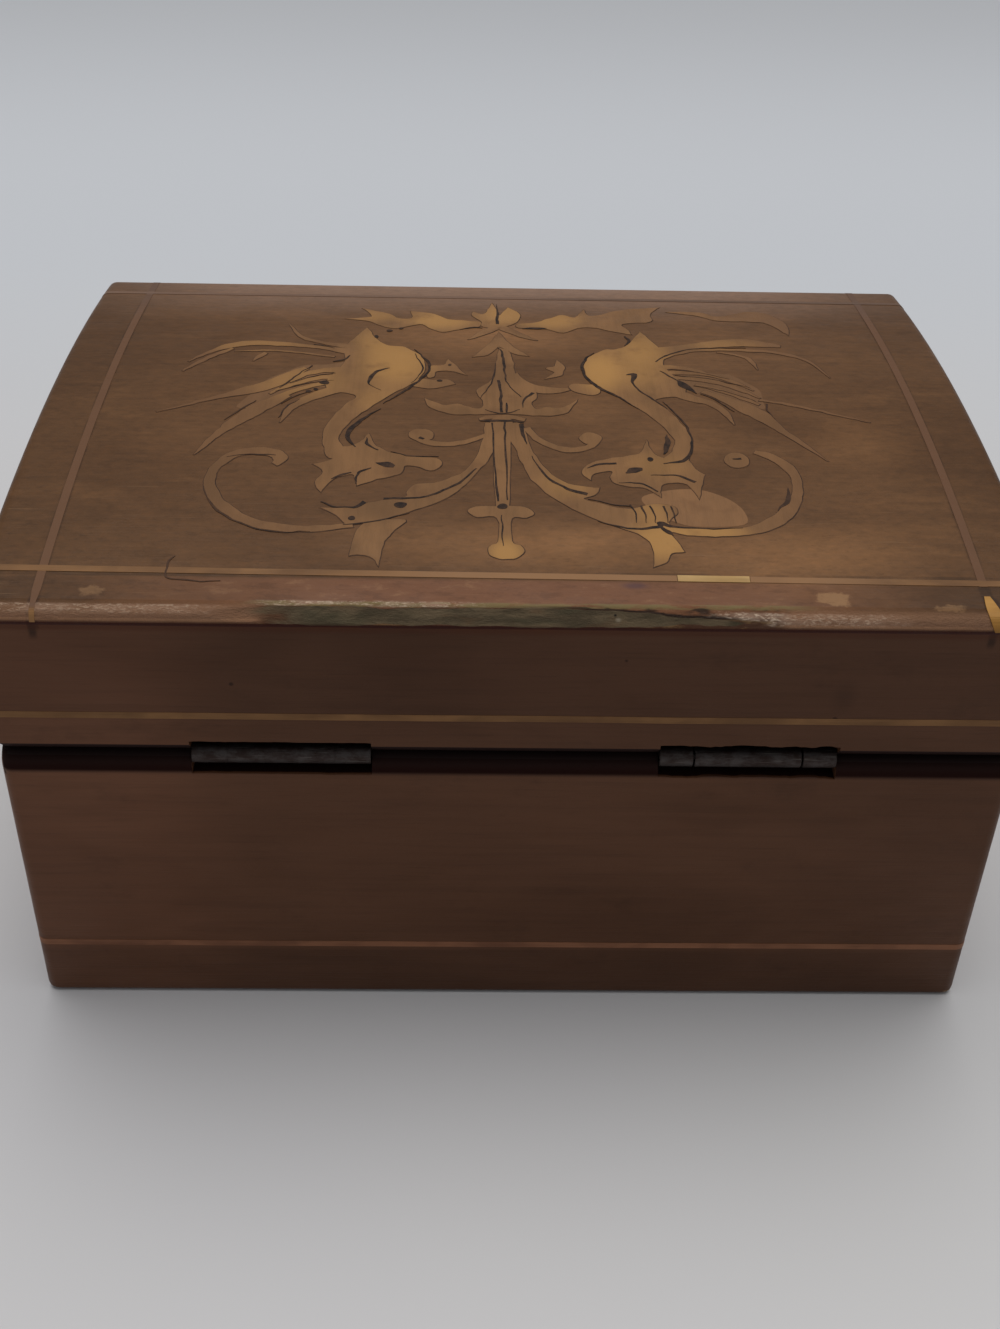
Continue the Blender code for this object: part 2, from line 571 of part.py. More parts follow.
def make_top_strings(top, lid):
    half = STRING_WIDTH / 2
    depth = VENEER + GAP
    for side, x in (("left", -FIELD_X), ("right", FIELD_X)):
        prism(f"top_string_{side}", wrapped_section(0, VENEER, LID_EDGE_Z - 1.5), "X", x - half, x + half,
              "string_wood", lid)
        cut_prism(top, f"top_string_{side}_groove", wrapped_section(-1, depth, LID_EDGE_Z - 1.5 - GAP), "X",
                  x - half - GAP, x + half + GAP)
    across = FIELD_X - half - GAP
    for side, y in (("rear", -FIELD_Y), ("front", FIELD_Y)):
        over, under = (dome_arc(y - half, y + half, inset, 1) for inset in (0, VENEER))
        section = over + list(reversed(under))
        prism(f"top_string_{side}", section, "X", -across, across, "string_wood", lid)
    cut_prism(top, "field_pocket", dome_slab(FIELD_Y + half + GAP, -1, depth), "X",
              -FIELD_X, FIELD_X)


# ---------------------------------------------------------------- marquetry, drawn for the right half

MOTIF_X = -1.3

TORCH_HALF = [
    (0, 43.0), (1.3, 36.5), (4.2, 38.5), (3.0, 32.0), (1.6, 30.2), (5.8, 24.5), (2.2, 26.0), (4.6, 17.5),
    (1.3, 20.5), (1.0, 12.0), (2.4, 7.5), (4.6, 3.5), (3.4, 0.0), (3.2, -2.6), (8.0, -1.8), (12.2, 0.6),
    (10.2, -3.8), (6.6, -5.4), (4.4, -5.4), (3.6, -7.2), (1.5, -7.6), (1.2, -29.6), (5.2, -30.4),
    (5.8, -32.2), (1.4, -33.0), (1.1, -38.6), (2.6, -39.8), (2.2, -42.0), (0, -42.4),
]
CREATURE = [
    (24.0, 28.0), (26.0, 21.5), (33.5, 22.6), (42.5, 22.4), (49.5, 19.0), (53.8, 10.5), (48.0, 16.0),
    (40.0, 19.4), (32.5, 18.6), (27.4, 15.6), (30.5, 12.6), (38.5, 9.6), (45.5, 3.4), (57.5, -5.4),
    (46.5, -1.2), (44.0, -3.0), (49.0, -17.0), (41.5, -6.4), (37.4, -1.0), (36.6, -6.0), (34.0, -0.6),
    (28.6, 2.2), (26.6, 1.0), (28.6, -5.0), (29.4, -12.0), (28.4, -18.0), (30.0, -21.8), (28.6, -26.4),
    (26.6, -23.4), (22.4, -26.4), (20.4, -24.6), (16.6, -24.2), (12.2, -22.6), (12.0, -20.2),
    (17.0, -18.0), (20.8, -16.8), (22.4, -12.0), (24.0, -16.8), (26.2, -14.4), (26.4, -10.8),
    (24.2, -6.6), (20.6, -1.0), (17.0, 3.4), (14.6, 8.0), (14.2, 12.4), (16.2, 18.2), (20.4, 21.6),
]
GARLAND = [
    (7.0, 30.0), (9.5, 33.5), (12.5, 31.8), (15.0, 38.5), (19.5, 33.2), (26.0, 34.2), (28.0, 41.0),
    (31.5, 35.0), (36.5, 39.0), (43.5, 38.5), (48.8, 34.5), (51.0, 27.5), (46.5, 33.0), (40.0, 35.0),
    (33.0, 32.4), (26.0, 31.0), (18.0, 30.2), (12.0, 29.0),
]
TAIL_PATH = [
    (4.2, -9.5, 0.9), (4.0, -15.0, 1.0), (6.2, -21.5, 1.2), (11.0, -28.0, 1.6), (17.0, -32.6, 1.8),
    (24.5, -35.4, 1.3), (33.0, -35.6, 1.1), (40.0, -32.2, 1.0), (44.0, -26.0, 1.0), (44.2, -20.0, 1.0),
    (41.0, -15.8, 1.0), (37.0, -15.0, 1.2), (35.2, -18.0, 1.4),
]


def between(before, start, end, after, t):
    """The value of a Catmull-Rom curve at t, on its way from start to end."""
    bend = 2 * before - 5 * start + 4 * end - after
    swing = 3 * start - before - 3 * end + after
    return 0.5 * (2 * start + (end - before) * t + bend * t ** 2 + swing * t ** 3)


def smooth_path(points, steps=2):
    """A Catmull-Rom curve through the points."""
    held = [points[0]] + list(points) + [points[-1]]
    curve = []
    for four in zip(held, held[1:], held[2:], held[3:]):
        for i in range(steps):
            curve.append(tuple(between(*values, i / steps) for values in zip(*four)))
    return curve + [points[-1]]


def ribbon(path, grow=0.0):
    """The outline of a band along a path of (x, y, half width) points."""
    curve = smooth_path(path)
    left, right = [], []
    for i, (x, y, half) in enumerate(curve):
        before, after = curve[max(i - 1, 0)], curve[min(i + 1, len(curve) - 1)]
        along = Vector((after[0] - before[0], after[1] - before[1])).normalized()
        stretch = -grow if i == 0 else grow if i == len(curve) - 1 else 0
        x, y = x + along.x * stretch, y + along.y * stretch
        width = half + grow
        left.append((x - along.y * width, y + along.x * width))
        right.append((x + along.y * width, y - along.x * width))
    return left + list(reversed(right))


def signed_area(outline):
    return sum(a[0] * b[1] - b[0] * a[1] for a, b in zip(outline, outline[1:] + outline[:1])) / 2


def grown(outline, amount):
    """The outline moved outwards, with its sharp tips cut short."""
    turn = 1 if signed_area(outline) > 0 else -1
    moved = []
    for before, here, after in zip(outline[-1:] + outline[:-1], outline, outline[1:] + outline[:1]):
        into = Vector((here[0] - before[0], here[1] - before[1])).normalized()
        out = Vector((after[0] - here[0], after[1] - here[1])).normalized()
        normal = Vector((into.y + out.y, -into.x - out.x)) * turn
        length = amount / max(normal.length / 2, 0.35)
        normal.normalize()
        moved.append((here[0] + normal.x * length, here[1] + normal.y * length))
    return moved


def placed(outline, mirrored):
    sign = -1 if mirrored else 1
    return [(MOTIF_X + sign * x, y) for x, y in outline]


def make_marquetry(lid):
    field = prism("field_veneer", dome_slab(FIELD_Y - STRING_WIDTH / 2 - GAP, 0, VENEER), "X",
                  -FIELD_X + STRING_WIDTH / 2 + GAP, FIELD_X - STRING_WIDTH / 2 - GAP, "brown_walnut", lid)
    torch = TORCH_HALF + [(-x, y) for x, y in reversed(TORCH_HALF[1:-1])]
    pieces = {"inlay_torch": (placed(torch, False), placed(grown(torch, GAP), False))}
    for side, mirrored in (("left", True), ("right", False)):
        for kind, outline in (("creature", CREATURE), ("garland", GARLAND)):
            hole = grown(outline, GAP)
            pieces[f"inlay_{kind}_{side}"] = (placed(outline, mirrored), placed(hole, mirrored))
        tail, hole = ribbon(TAIL_PATH), ribbon(TAIL_PATH, GAP)
        pieces[f"inlay_tail_scroll_{side}"] = (placed(tail, mirrored), placed(hole, mirrored))
    low, high = dome_z(HALF_DEPTH) - 5, dome_z(0) + 5
    sheet = dome_slab(FIELD_Y - 1, 0, VENEER)
    for name, (outline, hole) in pieces.items():
        piece = prism(name, sheet, "X", -FIELD_X + 1, FIELD_X - 1, "light_inlay", lid)
        cut_prism(piece, name + "_outline", outline, "Z", low, high, "INTERSECT")
        cut_prism(field, name + "_hole", hole, "Z", low, high)


def main():
    clear_scene()
    lid = Group("lid_hinge_axis", (0, HINGE_Y, PARTING_Z))
    rear_wall, left_wall, right_wall = make_body()
    string_band("body_string_rear", rear_wall, BODY_STRING_Z, -HALF_BODY, HALF_BODY, "Y", -1)
    low_y, high_y = INNER_REAR_Y + GAP, FRONT_WALL_Y[0] - GAP
    string_band("body_string_left", left_wall, BODY_STRING_Z, low_y, high_y, "X", -1)
    string_band("body_string_right", right_wall, BODY_STRING_Z + GAP, low_y, high_y, "X", 1)
    lid_rear_rail, lid_front_rail = make_lid(lid)
    make_sliders()
    make_drawer()
    make_lock(lid_front_rail, lid)
    for side in HINGE_X:
        make_hinge(side, rear_wall, lid_rear_rail, lid)
    make_marquetry(lid)


main()
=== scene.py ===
"""The looks of the inlaid wooden puzzle box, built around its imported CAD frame.

The hinge side faces -Y and +X runs along the length. Shapes are drawn in millimetres,
and make_object scales them to metres.
"""
import functools
import math

import bmesh
import bpy
from mathutils import Matrix, Vector, noise
from mathutils.geometry import delaunay_2d_cdt


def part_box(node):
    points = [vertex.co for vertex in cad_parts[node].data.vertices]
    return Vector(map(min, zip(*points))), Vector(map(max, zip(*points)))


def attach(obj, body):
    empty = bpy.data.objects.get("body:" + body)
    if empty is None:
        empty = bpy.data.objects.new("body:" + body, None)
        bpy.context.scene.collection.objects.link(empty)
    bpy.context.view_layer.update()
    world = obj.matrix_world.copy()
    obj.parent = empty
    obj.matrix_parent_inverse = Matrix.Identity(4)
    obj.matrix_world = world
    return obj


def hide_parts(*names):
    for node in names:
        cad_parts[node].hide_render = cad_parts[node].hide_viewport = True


MM = 0.001
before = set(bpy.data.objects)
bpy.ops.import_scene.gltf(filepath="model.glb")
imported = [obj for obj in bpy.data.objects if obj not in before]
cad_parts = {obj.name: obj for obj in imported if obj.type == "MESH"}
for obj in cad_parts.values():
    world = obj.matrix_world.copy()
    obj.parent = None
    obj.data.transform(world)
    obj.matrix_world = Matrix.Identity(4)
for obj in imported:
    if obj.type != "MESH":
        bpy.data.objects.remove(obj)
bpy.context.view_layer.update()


def corners(node):
    """A CAD node's lowest and highest corners, in millimetres."""
    low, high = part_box(node)
    return low / MM, high / MM


# ---------------------------------------------------------------- sizes from the frame

RAIL_LOW, RAIL_HIGH = corners("lid_rear_rail")
HALF_LID = RAIL_HIGH.x
REAR_Y = RAIL_LOW.y
HALF_DEPTH = -REAR_Y
LID_BOTTOM = RAIL_LOW.z
WALL = RAIL_HIGH.y - REAR_Y
DOME_TOP = corners("lid_top_board")[1].z
LID_FRONT_Y = corners("lid_front_rail")[0].y
HALF_BODY = corners("rear_wall")[1].x
BODY_TOP = corners("rear_wall")[1].z
FRONT_WALL_LOW, FRONT_WALL_HIGH = corners("front_wall")
HINGES = {side: corners(f"{side}_hinge_pin") for side in ("left", "right")}
HINGE_Y = (HINGES["left"][0].y + HINGES["left"][1].y) / 2
HINGE_Z = (HINGES["left"][0].z + HINGES["left"][1].z) / 2
STRINGS = {side: corners(f"lid_string_{side}") for side in ("rear", "front", "left", "right")}
LID_LINE_LOW_Z = STRINGS["rear"][0].z
BASE_LINE_LOW_Z = corners("body_string_rear")[0].z
SIDE_STRING_X = (corners("top_string_right")[0].x + corners("top_string_right")[1].x) / 2
END_STRING_Y = (corners("top_string_front")[0].y + corners("top_string_front")[1].y) / 2

# ---------------------------------------------------------------- sizes of the visible surface

DOME_RISE = 4.0
EDGE_RADIUS = 2.0
CORNER_RADIUS = 1.7
FOOT_RADIUS = 1.1
SKIN_AT_FOOT = 0.15
BOARD = 5.0
GROOVE_TOP_Z = 51.6
GROOVE_LOW_Z = 46.8
VENEER = 0.6
MORTISE_LOW_Z = 46.5
MORTISE_TOP_Z = 52.4
MORTISE_ROUGHNESS = {"left": 0.12, "right": 0.35}
BARREL_RADIUS = 1.5
MIDDLE_KNUCKLE = 15.4
STRING_HALF = 0.6
STRING_DEEP = 0.5
PROUD = 0.05
REAR_LINE_SKEW = -0.6 / HALF_LID
BARE_PATCH_X = (22.5, 32.5)
# Near the rear edge the left side line gets thin, and the right one stops and has a loose end.
THIN_LINE_Y = -50.5
BROKEN_LINE_Y = -47.4
LOOSE_END_Y = -48.8

DOME_RADIUS = (HALF_DEPTH ** 2 + DOME_RISE ** 2) / (2 * DOME_RISE)
DOME_CENTRE_Z = DOME_TOP - DOME_RADIUS
EDGE_CENTRE_Y = HALF_DEPTH - EDGE_RADIUS
EDGE_CENTRE_Z = DOME_CENTRE_Z + math.sqrt((DOME_RADIUS - EDGE_RADIUS) ** 2 - EDGE_CENTRE_Y ** 2)

# The rear top edge is worn flat: the face grows from the first X to the second and
# fades from the third to the fourth, where it also turns upright.
WEAR_X = (-43.0, -31.0, 10.0, 42.0)
WEAR_DEPTH = 0.62
WEAR_TURN = (50.0, 76.0)


def dome_z(y, inset=0.0):
    """The height of the lid's domed top at y, or of a surface that lies inset below it."""
    return DOME_CENTRE_Z + math.sqrt((DOME_RADIUS - inset) ** 2 - y * y)


# ---------------------------------------------------------------- materials

def tone(red, green, blue):
    """A colour given by its 0..255 display values."""
    def linear(value):
        share = value / 255
        return share / 12.92 if share <= 0.04045 else ((share + 0.055) / 1.055) ** 2.4
    return (linear(red), linear(green), linear(blue), 1.0)


class Field:
    """A number that varies over the surface: arithmetic on it adds nodes to its look."""

    def __init__(self, look, socket):
        self.look = look
        self.socket = socket

    def __add__(self, other):
        return self.look.math("ADD", self, other)

    def __sub__(self, other):
        return self.look.math("SUBTRACT", self, other)

    def __rsub__(self, other):
        return self.look.math("SUBTRACT", other, self)

    def __mul__(self, other):
        return self.look.math("MULTIPLY", self, other)

    def __truediv__(self, other):
        return self.look.math("DIVIDE", self, other)

    def __abs__(self):
        return self.look.math("ABSOLUTE", self)

    __radd__ = __add__
    __rmul__ = __mul__


class Look:
    """A node material that is painted in layers. Sizes are in millimetres."""

    def __init__(self, name, specular=0.12, metallic=0.0):
        self.material = bpy.data.materials.new(name)
        self.material.use_nodes = True
        self.tree = self.material.node_tree
        self.shader = self.tree.nodes["Principled BSDF"]
        self.shader.inputs["Metallic"].default_value = metallic
        self.shader.inputs["Specular IOR Level"].default_value = specular
        source = self.add("TexCoord")
        self.place = self.vector("MULTIPLY", source.outputs["Object"], (1 / MM,) * 3)
        self.x, self.y, self.z = self.split(self.place)
        self.normal_x, _normal_y, self.normal_z = self.split(source.outputs["Normal"])
        self.colour = None
        self.height = None

    def add(self, kind, settings=None, **inputs):
        node = self.tree.nodes.new("ShaderNode" + kind)
        for key, value in (settings or {}).items():
            setattr(node, key, value)
        for key, value in inputs.items():
            self.feed(node.inputs[key.replace("_", " ")], value)
        return node

    def feed(self, socket, value):
        """Set a socket to a number or colour, or link a field or another node's output to it."""
        if isinstance(value, Field):
            value = value.socket
        if isinstance(value, bpy.types.NodeSocket):
            self.tree.links.new(value, socket)
        else:
            socket.default_value = value

    def fill(self, node, values):
        """Feed the inputs that the node uses in their order, and return the output that it uses."""
        for socket, value in zip([each for each in node.inputs if each.enabled], values):
            self.feed(socket, value)
        return next(each for each in node.outputs if each.enabled)

    def split(self, place):
        return [Field(self, socket) for socket in self.add("SeparateXYZ", Vector=place).outputs]

    def math(self, operation, *values):
        return Field(self, self.fill(self.add("Math", {"operation": operation}), values))

    def most(self, fields):
        """The highest of the fields, point by point."""
        return functools.reduce(lambda first, second: self.math("MAXIMUM", first, second), fields)

    def vector(self, operation, *values):
        return self.fill(self.add("VectorMath", {"operation": operation}), values)

    def ramp(self, value, low, high):
        """0 on low's side and 1 on high's side, with a smooth step between."""
        node = self.add("MapRange", {"interpolation_type": "SMOOTHSTEP"})
        return Field(self, self.fill(node, (value, low, high)))

    def noise(self, size, seed=0.0, detail=3.0, rough=0.55, place=None, bend=0.0):
        """Noise whose features have the given size along X, Y and Z."""
        spot = self.vector("MULTIPLY_ADD", place or self.place, tuple(1 / s for s in size),
                           (seed, 1.7 * seed, 0.6 * seed))
        node = self.add("TexNoise", Vector=spot, Scale=1.0, Detail=detail, Roughness=rough, Distortion=bend)
        return Field(self, node.outputs["Fac"])

    def near(self, value, centre, half, soft):
        """1 where a value is within half of the centre, falling to 0 over soft."""
        return self.ramp(abs(value - centre), half + soft, half)

    def spot(self, centre, radius, soft, stretch=(1, 1, 1), place=None):
        """1 inside an ellipsoid round the centre, falling to 0 over soft."""
        offset = self.vector("DIVIDE", self.vector("SUBTRACT", place or self.place, centre), stretch)
        return self.ramp(self.vector("LENGTH", offset), radius, radius - soft)

    def on_dome(self, places, soft=1.0):
        """The strength of each place on the dome, given as (x, y, reach along X, reach along Y, strength)."""
        return [self.spot((x, y, dome_z(y)), reach_x, reach_x * soft, (1, reach_y / reach_x, 1)) * strength
                for x, y, reach_x, reach_y, strength in places]

    def mix(self, share, first, second, blend="MIX"):
        return self.fill(self.add("Mix", {"data_type": "RGBA", "blend_type": blend}), (share, first, second))

    def blend(self, share, first, second):
        """A colour between two tones, each given by its display values."""
        return self.mix(share, tone(*first), tone(*second))

    def paint(self, share, *display):
        """Cover share of the colour so far with a tone."""
        self.colour = self.mix(share, self.colour, tone(*display))

    def tint(self, share, *factors):
        """Multiply the colour so far by one factor, or by one each for red, green and blue."""
        red, green, blue = factors if len(factors) == 3 else factors * 3
        self.colour = self.mix(share, self.colour, (red, green, blue, 1), "MULTIPLY")

    def grain_place(self, along):
        """Coordinates whose X runs along the grain: it follows the length on every upright face."""
        turned = self.add("CombineXYZ", X=self.y, Y=self.x, Z=self.z).outputs["Vector"]
        if along == "Y":
            return turned
        on_end = self.ramp(abs(self.normal_x), 0.69, 0.71)
        return self.fill(self.add("Mix", {"data_type": "VECTOR"}), (on_end, self.place, turned))

    def wood(self, dark, light, along="X", seed=0.0, figure=(46, 17, 17), fibre=1.0, contrast=0.74):
        """Planed wood: figure, streaks, pores and stains."""
        place = self.grain_place(along)
        cloud = self.noise(figure, seed, 3, 0.6, place, 0.4)
        self.colour = self.blend(self.ramp(cloud, 0.34, 0.66), dark, light)
        streak = self.noise((38 * fibre, 1.5 * fibre, 1.5 * fibre), seed + 3, 4, 0.65, place, 0.2)
        self.tint(self.ramp(streak, 0.42, 0.7), contrast)
        fine = self.noise((9 * fibre, 0.28 * fibre, 0.28 * fibre), seed + 7, 2, 0.6, place)
        self.tint(self.ramp(fine, 0.56, 0.72), contrast)
        blotch = self.noise((13, 8, 8), seed + 11, 4, 0.7, place)
        self.tint(self.ramp(blotch, 0.55, 0.75), 0.84)
        self.height = fine * -0.06 + streak * -0.05

    def varnish(self, seed):
        """Uneven gloss and fine pits of an old varnish. The gloss is returned, the pits are in the height."""
        patch = self.noise((7, 5, 5), seed + 20, 4, 0.65)
        self.height = self.height + self.noise((0.9, 0.7, 0.7), seed + 23, 3, 0.6) * 0.05
        return Field(self, self.fill(self.add("MapRange"), (patch, 0.3, 0.7, 0.34, 0.5)))

    def finish(self, roughness, strength=0.5):
        self.feed(self.shader.inputs["Base Color"], self.colour)
        self.feed(self.shader.inputs["Roughness"], roughness)
        if self.height is not None:
            bump = self.add("Bump", Height=self.height, Strength=strength, Distance=MM)
            self.feed(self.shader.inputs["Normal"], bump.outputs["Normal"])
        return self.material


def groove_shade_share(look):
    """1 in the groove and the hinge mortises between the lid and the body, where shade is painted."""
    hinge_side = look.ramp(look.y, REAR_Y + 5.5, REAR_Y + 3.5)
    band = (look.ramp(look.z, GROOVE_LOW_Z - 0.7, GROOVE_LOW_Z + 0.3)
            * look.ramp(look.z, GROOVE_TOP_Z + 0.25, GROOVE_TOP_Z + 0.1))
    inside = look.near(look.z, HINGE_Z, 3.4, 0.2) * look.ramp(look.y, REAR_Y + 0.2, REAR_Y + 0.6)
    off_end_face = look.ramp(abs(look.normal_x), 0.9, 0.7)
    return hinge_side * off_end_face * look.most([band, inside])


# Lighter places of the top veneer: (x, y, reach along X, reach along Y, strength).
GOLDEN_PLACES = [
    (2, -39, 40, 9, 0.62), (38, -41, 30, 10, 0.75), (-4, 26, 30, 15, 0.7), (54, -12, 12, 12, 0.35),
    (12, 2, 10, 16, 0.35), (30, 18, 16, 12, 0.2), (26, -12, 14, 12, 0.25),
]
# Places near the rear edge where the varnish has lifted: (x, y, reach, stretch along Y, strength).
LIFTED_PLACES = [(43.6, -49.8, 3.0, 0.5, 0.6), (59.4, -51.4, 2.4, 0.3, 0.4), (-57.5, -49.8, 2.0, 0.6, 0.35)]
# Small dark dents in the rear faces: (x, z, radius).
DENTS = [(-39.1, 62.8, 0.45), (15.4, 67.5, 0.35), (45.6, 57.6, 0.5)]
# Chips along the lid's right edge: (y, radius).
CHIPS = [(-38.0, 0.5), (-21.0, 0.7), (-13.5, 0.45), (7.0, 0.6)]
# Stretches of the rear edge where glints are painted: (x, reach, strength).
PAINTED_GLINTS = [(-58.0, 10.8, 0.8), (-20.0, 9.0, 0.7), (40.0, 7.8, 1.0)]


def veneer_look():
    """The varnished brown veneer of the outside, with its joint lines, stains and worn rear edge, and with
    painted light and shade: a sheen on the far side, glints, light and a shadow line at the rear edge, and
    shade on the upright faces and in the groove.
    """
    look = Look("brown_veneer")
    look.wood((92, 62, 36), (103, 71, 43), seed=4.0, figure=(52, 26, 22), contrast=0.9)
    outside = look.ramp(look.z, LID_LINE_LOW_Z + 3.5, LID_LINE_LOW_Z + 5.5)
    on_top = outside * look.ramp(look.normal_z, 0.5, 0.8)
    paint_top(look, on_top)
    paint_border(look, on_top)
    paint_upright_faces(look, on_top)
    paint_line_ends(look, outside)
    # Painted shade in the groove and the hinge mortises, darker and redder towards the groove's bottom.
    groove = groove_shade_share(look)
    in_depth = look.ramp(look.z, GROOVE_LOW_Z + 1.6, GROOVE_LOW_Z + 0.4)
    look.colour = look.mix(groove, look.colour, look.blend(in_depth, (38, 22, 19), (30, 8, 4)))
    worn, crazed = paint_rear_edge(look, on_top)
    gloss = look.varnish(4.0)
    look.height = look.height + crazed * 0.9
    return look.finish(look.most([gloss + worn * 0.25, groove * 0.9]), 0.55)


def paint_top(look, on_top):
    """The domed top: golden clouds, a painted sheen on the far side, dark joints along the lines, mottling
    and scratches.
    """
    golden = look.most(look.on_dome(GOLDEN_PLACES))
    cloud = look.noise((24, 9, 12), 9.0, 4, 0.65)
    look.paint(on_top * (golden * (0.55 + cloud) + look.ramp(cloud, 0.52, 0.7) * 0.2), 138, 97, 60)
    # Painted sheen: the far side of the dome is made lighter and greyer.
    look.paint(on_top * look.ramp(look.y, 30, 54) * look.near(look.x, 0.0, 32.0, 60.0) * 0.85, 142, 113, 94)
    look.tint(on_top * look.ramp(abs(look.x), 46, 76), 0.84)
    from_line = look.math("MINIMUM", abs(abs(look.x) - SIDE_STRING_X), abs(abs(look.y) - END_STRING_Y))
    joint_and_shadow = on_top * look.ramp(from_line, STRING_HALF + 0.4, STRING_HALF + 0.05) * look.ramp(look.y, 44, 36)
    look.tint(joint_and_shadow * look.ramp(look.noise((7, 7, 7), 29.0, 3, 0.6), 0.35, 0.6), 0.66)
    mottle = look.noise((1.9, 1.1, 1.1), 39.0, 4, 0.7)
    look.tint(on_top * look.ramp(mottle, 0.5, 0.66), 0.87)
    look.tint(on_top * look.ramp(mottle, 0.5, 0.34), 1.12, 1.1, 1.08)
    near_side = on_top * look.ramp(look.y, -15, -40)
    scratch = look.noise((16, 0.35, 0.35), 31.0, 2, 0.5)
    look.paint(near_side * look.ramp(scratch, 0.69, 0.76) * 0.2, 176, 140, 104)
    specks = look.noise((2.4, 0.9, 0.9), 35.0, 4, 0.7)
    look.tint(near_side * look.ramp(specks, 0.58, 0.7), 0.8)


def paint_border(look, on_top):
    """The strip between the near light line and the rear edge, which is redder and scuffed."""
    border = on_top * look.ramp(look.y, -END_STRING_Y - 0.45, -END_STRING_Y - 1.45)
    middle = border * look.near(look.x, 0.0, 16.0, 56.0)
    scuff = look.noise((5, 2.0, 2.0), 33.0, 5, 0.75)
    look.paint(middle * 0.75, 124, 82, 58)
    look.paint(middle * look.ramp(scuff, 0.54, 0.72) * 0.4, 158, 118, 84)
    look.tint(border * look.ramp(scuff, 0.5, 0.36), 0.8)
    look.tint(border * look.ramp(abs(look.x), 50, 60), 0.82)
    look.tint(border * look.ramp(look.x, 38, 52), 0.8)
    # A coarse noise bends the lifted places' outlines: its middle value is 0.5, so their centres move too.
    bend = (5, 2.5, 2.5)
    warp = look.add("TexNoise", Vector=look.place, Scale=0.45, Detail=4.0, Roughness=0.7)
    warped = look.vector("MULTIPLY_ADD", warp.outputs["Color"], bend, look.place)
    for x, y, reach, stretch, strength in LIFTED_PLACES:
        centre = (x + bend[0] / 2, y + bend[1] / 2, dome_z(y) + bend[2] / 2)
        patch = look.spot(centre, reach, 0.9, (1, stretch, 1), warped)
        look.paint(border * patch * strength * look.ramp(scuff, 0.3, 0.55), 160, 122, 84)
    smudge_y = -END_STRING_Y - 1.75
    look.paint(look.spot((16.5, smudge_y, dome_z(smudge_y)), 2.6, 2.2, (1, 0.4, 1)) * 0.6, 70, 48, 58)


def paint_upright_faces(look, on_top):
    """Dents and chips, painted shade that makes the upright faces darker than the top, and other tones of
    those faces.
    """
    for x, z, radius in DENTS:
        look.tint(look.spot((x, REAR_Y, z), radius, 0.3), 0.4)
    look.tint(look.spot((46.4, REAR_Y, 61.5), 3.2, 3.0, (0.8, 1, 1.3)), 0.82)
    for y, radius in CHIPS:
        chip = look.spot((HALF_LID - 0.3, y, dome_z(y) - 0.3), radius, 0.3, (1, 1.6, 1))
        look.paint(chip * 0.7, 44, 26, 18)
    upright = 1.0 - on_top
    # Painted shade: the upright faces are made darker and cooler than the top.
    look.tint(upright, 0.7, 0.66, 0.9)
    below_lid = look.ramp(look.z, LID_BOTTOM + 1.15, LID_BOTTOM + 0.15)
    below_line = look.ramp(look.z, LID_LINE_LOW_Z + 0.5, LID_LINE_LOW_Z - 0.5)
    look.tint(look.most([below_lid, below_line * 0.5]), 1.3, 1.3, 1.28)
    look.tint(upright * look.ramp(look.x, -34, -56), 1.36, 1.34, 1.36)
    look.tint(look.ramp(look.z, BASE_LINE_LOW_Z - 0.1, BASE_LINE_LOW_Z - 1.1), 0.84)


def paint_line_ends(look, outside):
    """The worn ends of the two lines that run over the rear edge."""
    channel = look.spot((SIDE_STRING_X + 0.45, REAR_Y + 2.4, EDGE_CENTRE_Z + 2), 1.4, 0.4, (1, 2.1, 3.2))
    look.paint(channel * outside * 0.8, 50, 32, 21)
    beside = look.near(look.x, -SIDE_STRING_X, 0.62, 0.3) * look.ramp(look.y, REAR_Y + 3.4, REAR_Y + 2)
    beside = beside * outside * look.ramp(look.z, EDGE_CENTRE_Z - 1.6, EDGE_CENTRE_Z - 0.6)
    look.paint(beside * 0.75, 52, 32, 22)
    smear = look.near(abs(look.x), SIDE_STRING_X + 0.2, 0.2, 0.6)
    smear = smear * look.ramp(look.y, REAR_Y + 1, REAR_Y + 0.4)
    smear = smear * look.ramp(look.z, EDGE_CENTRE_Z - 3.2, EDGE_CENTRE_Z - 1.8)
    look.paint(smear * 0.7, 38, 24, 17)


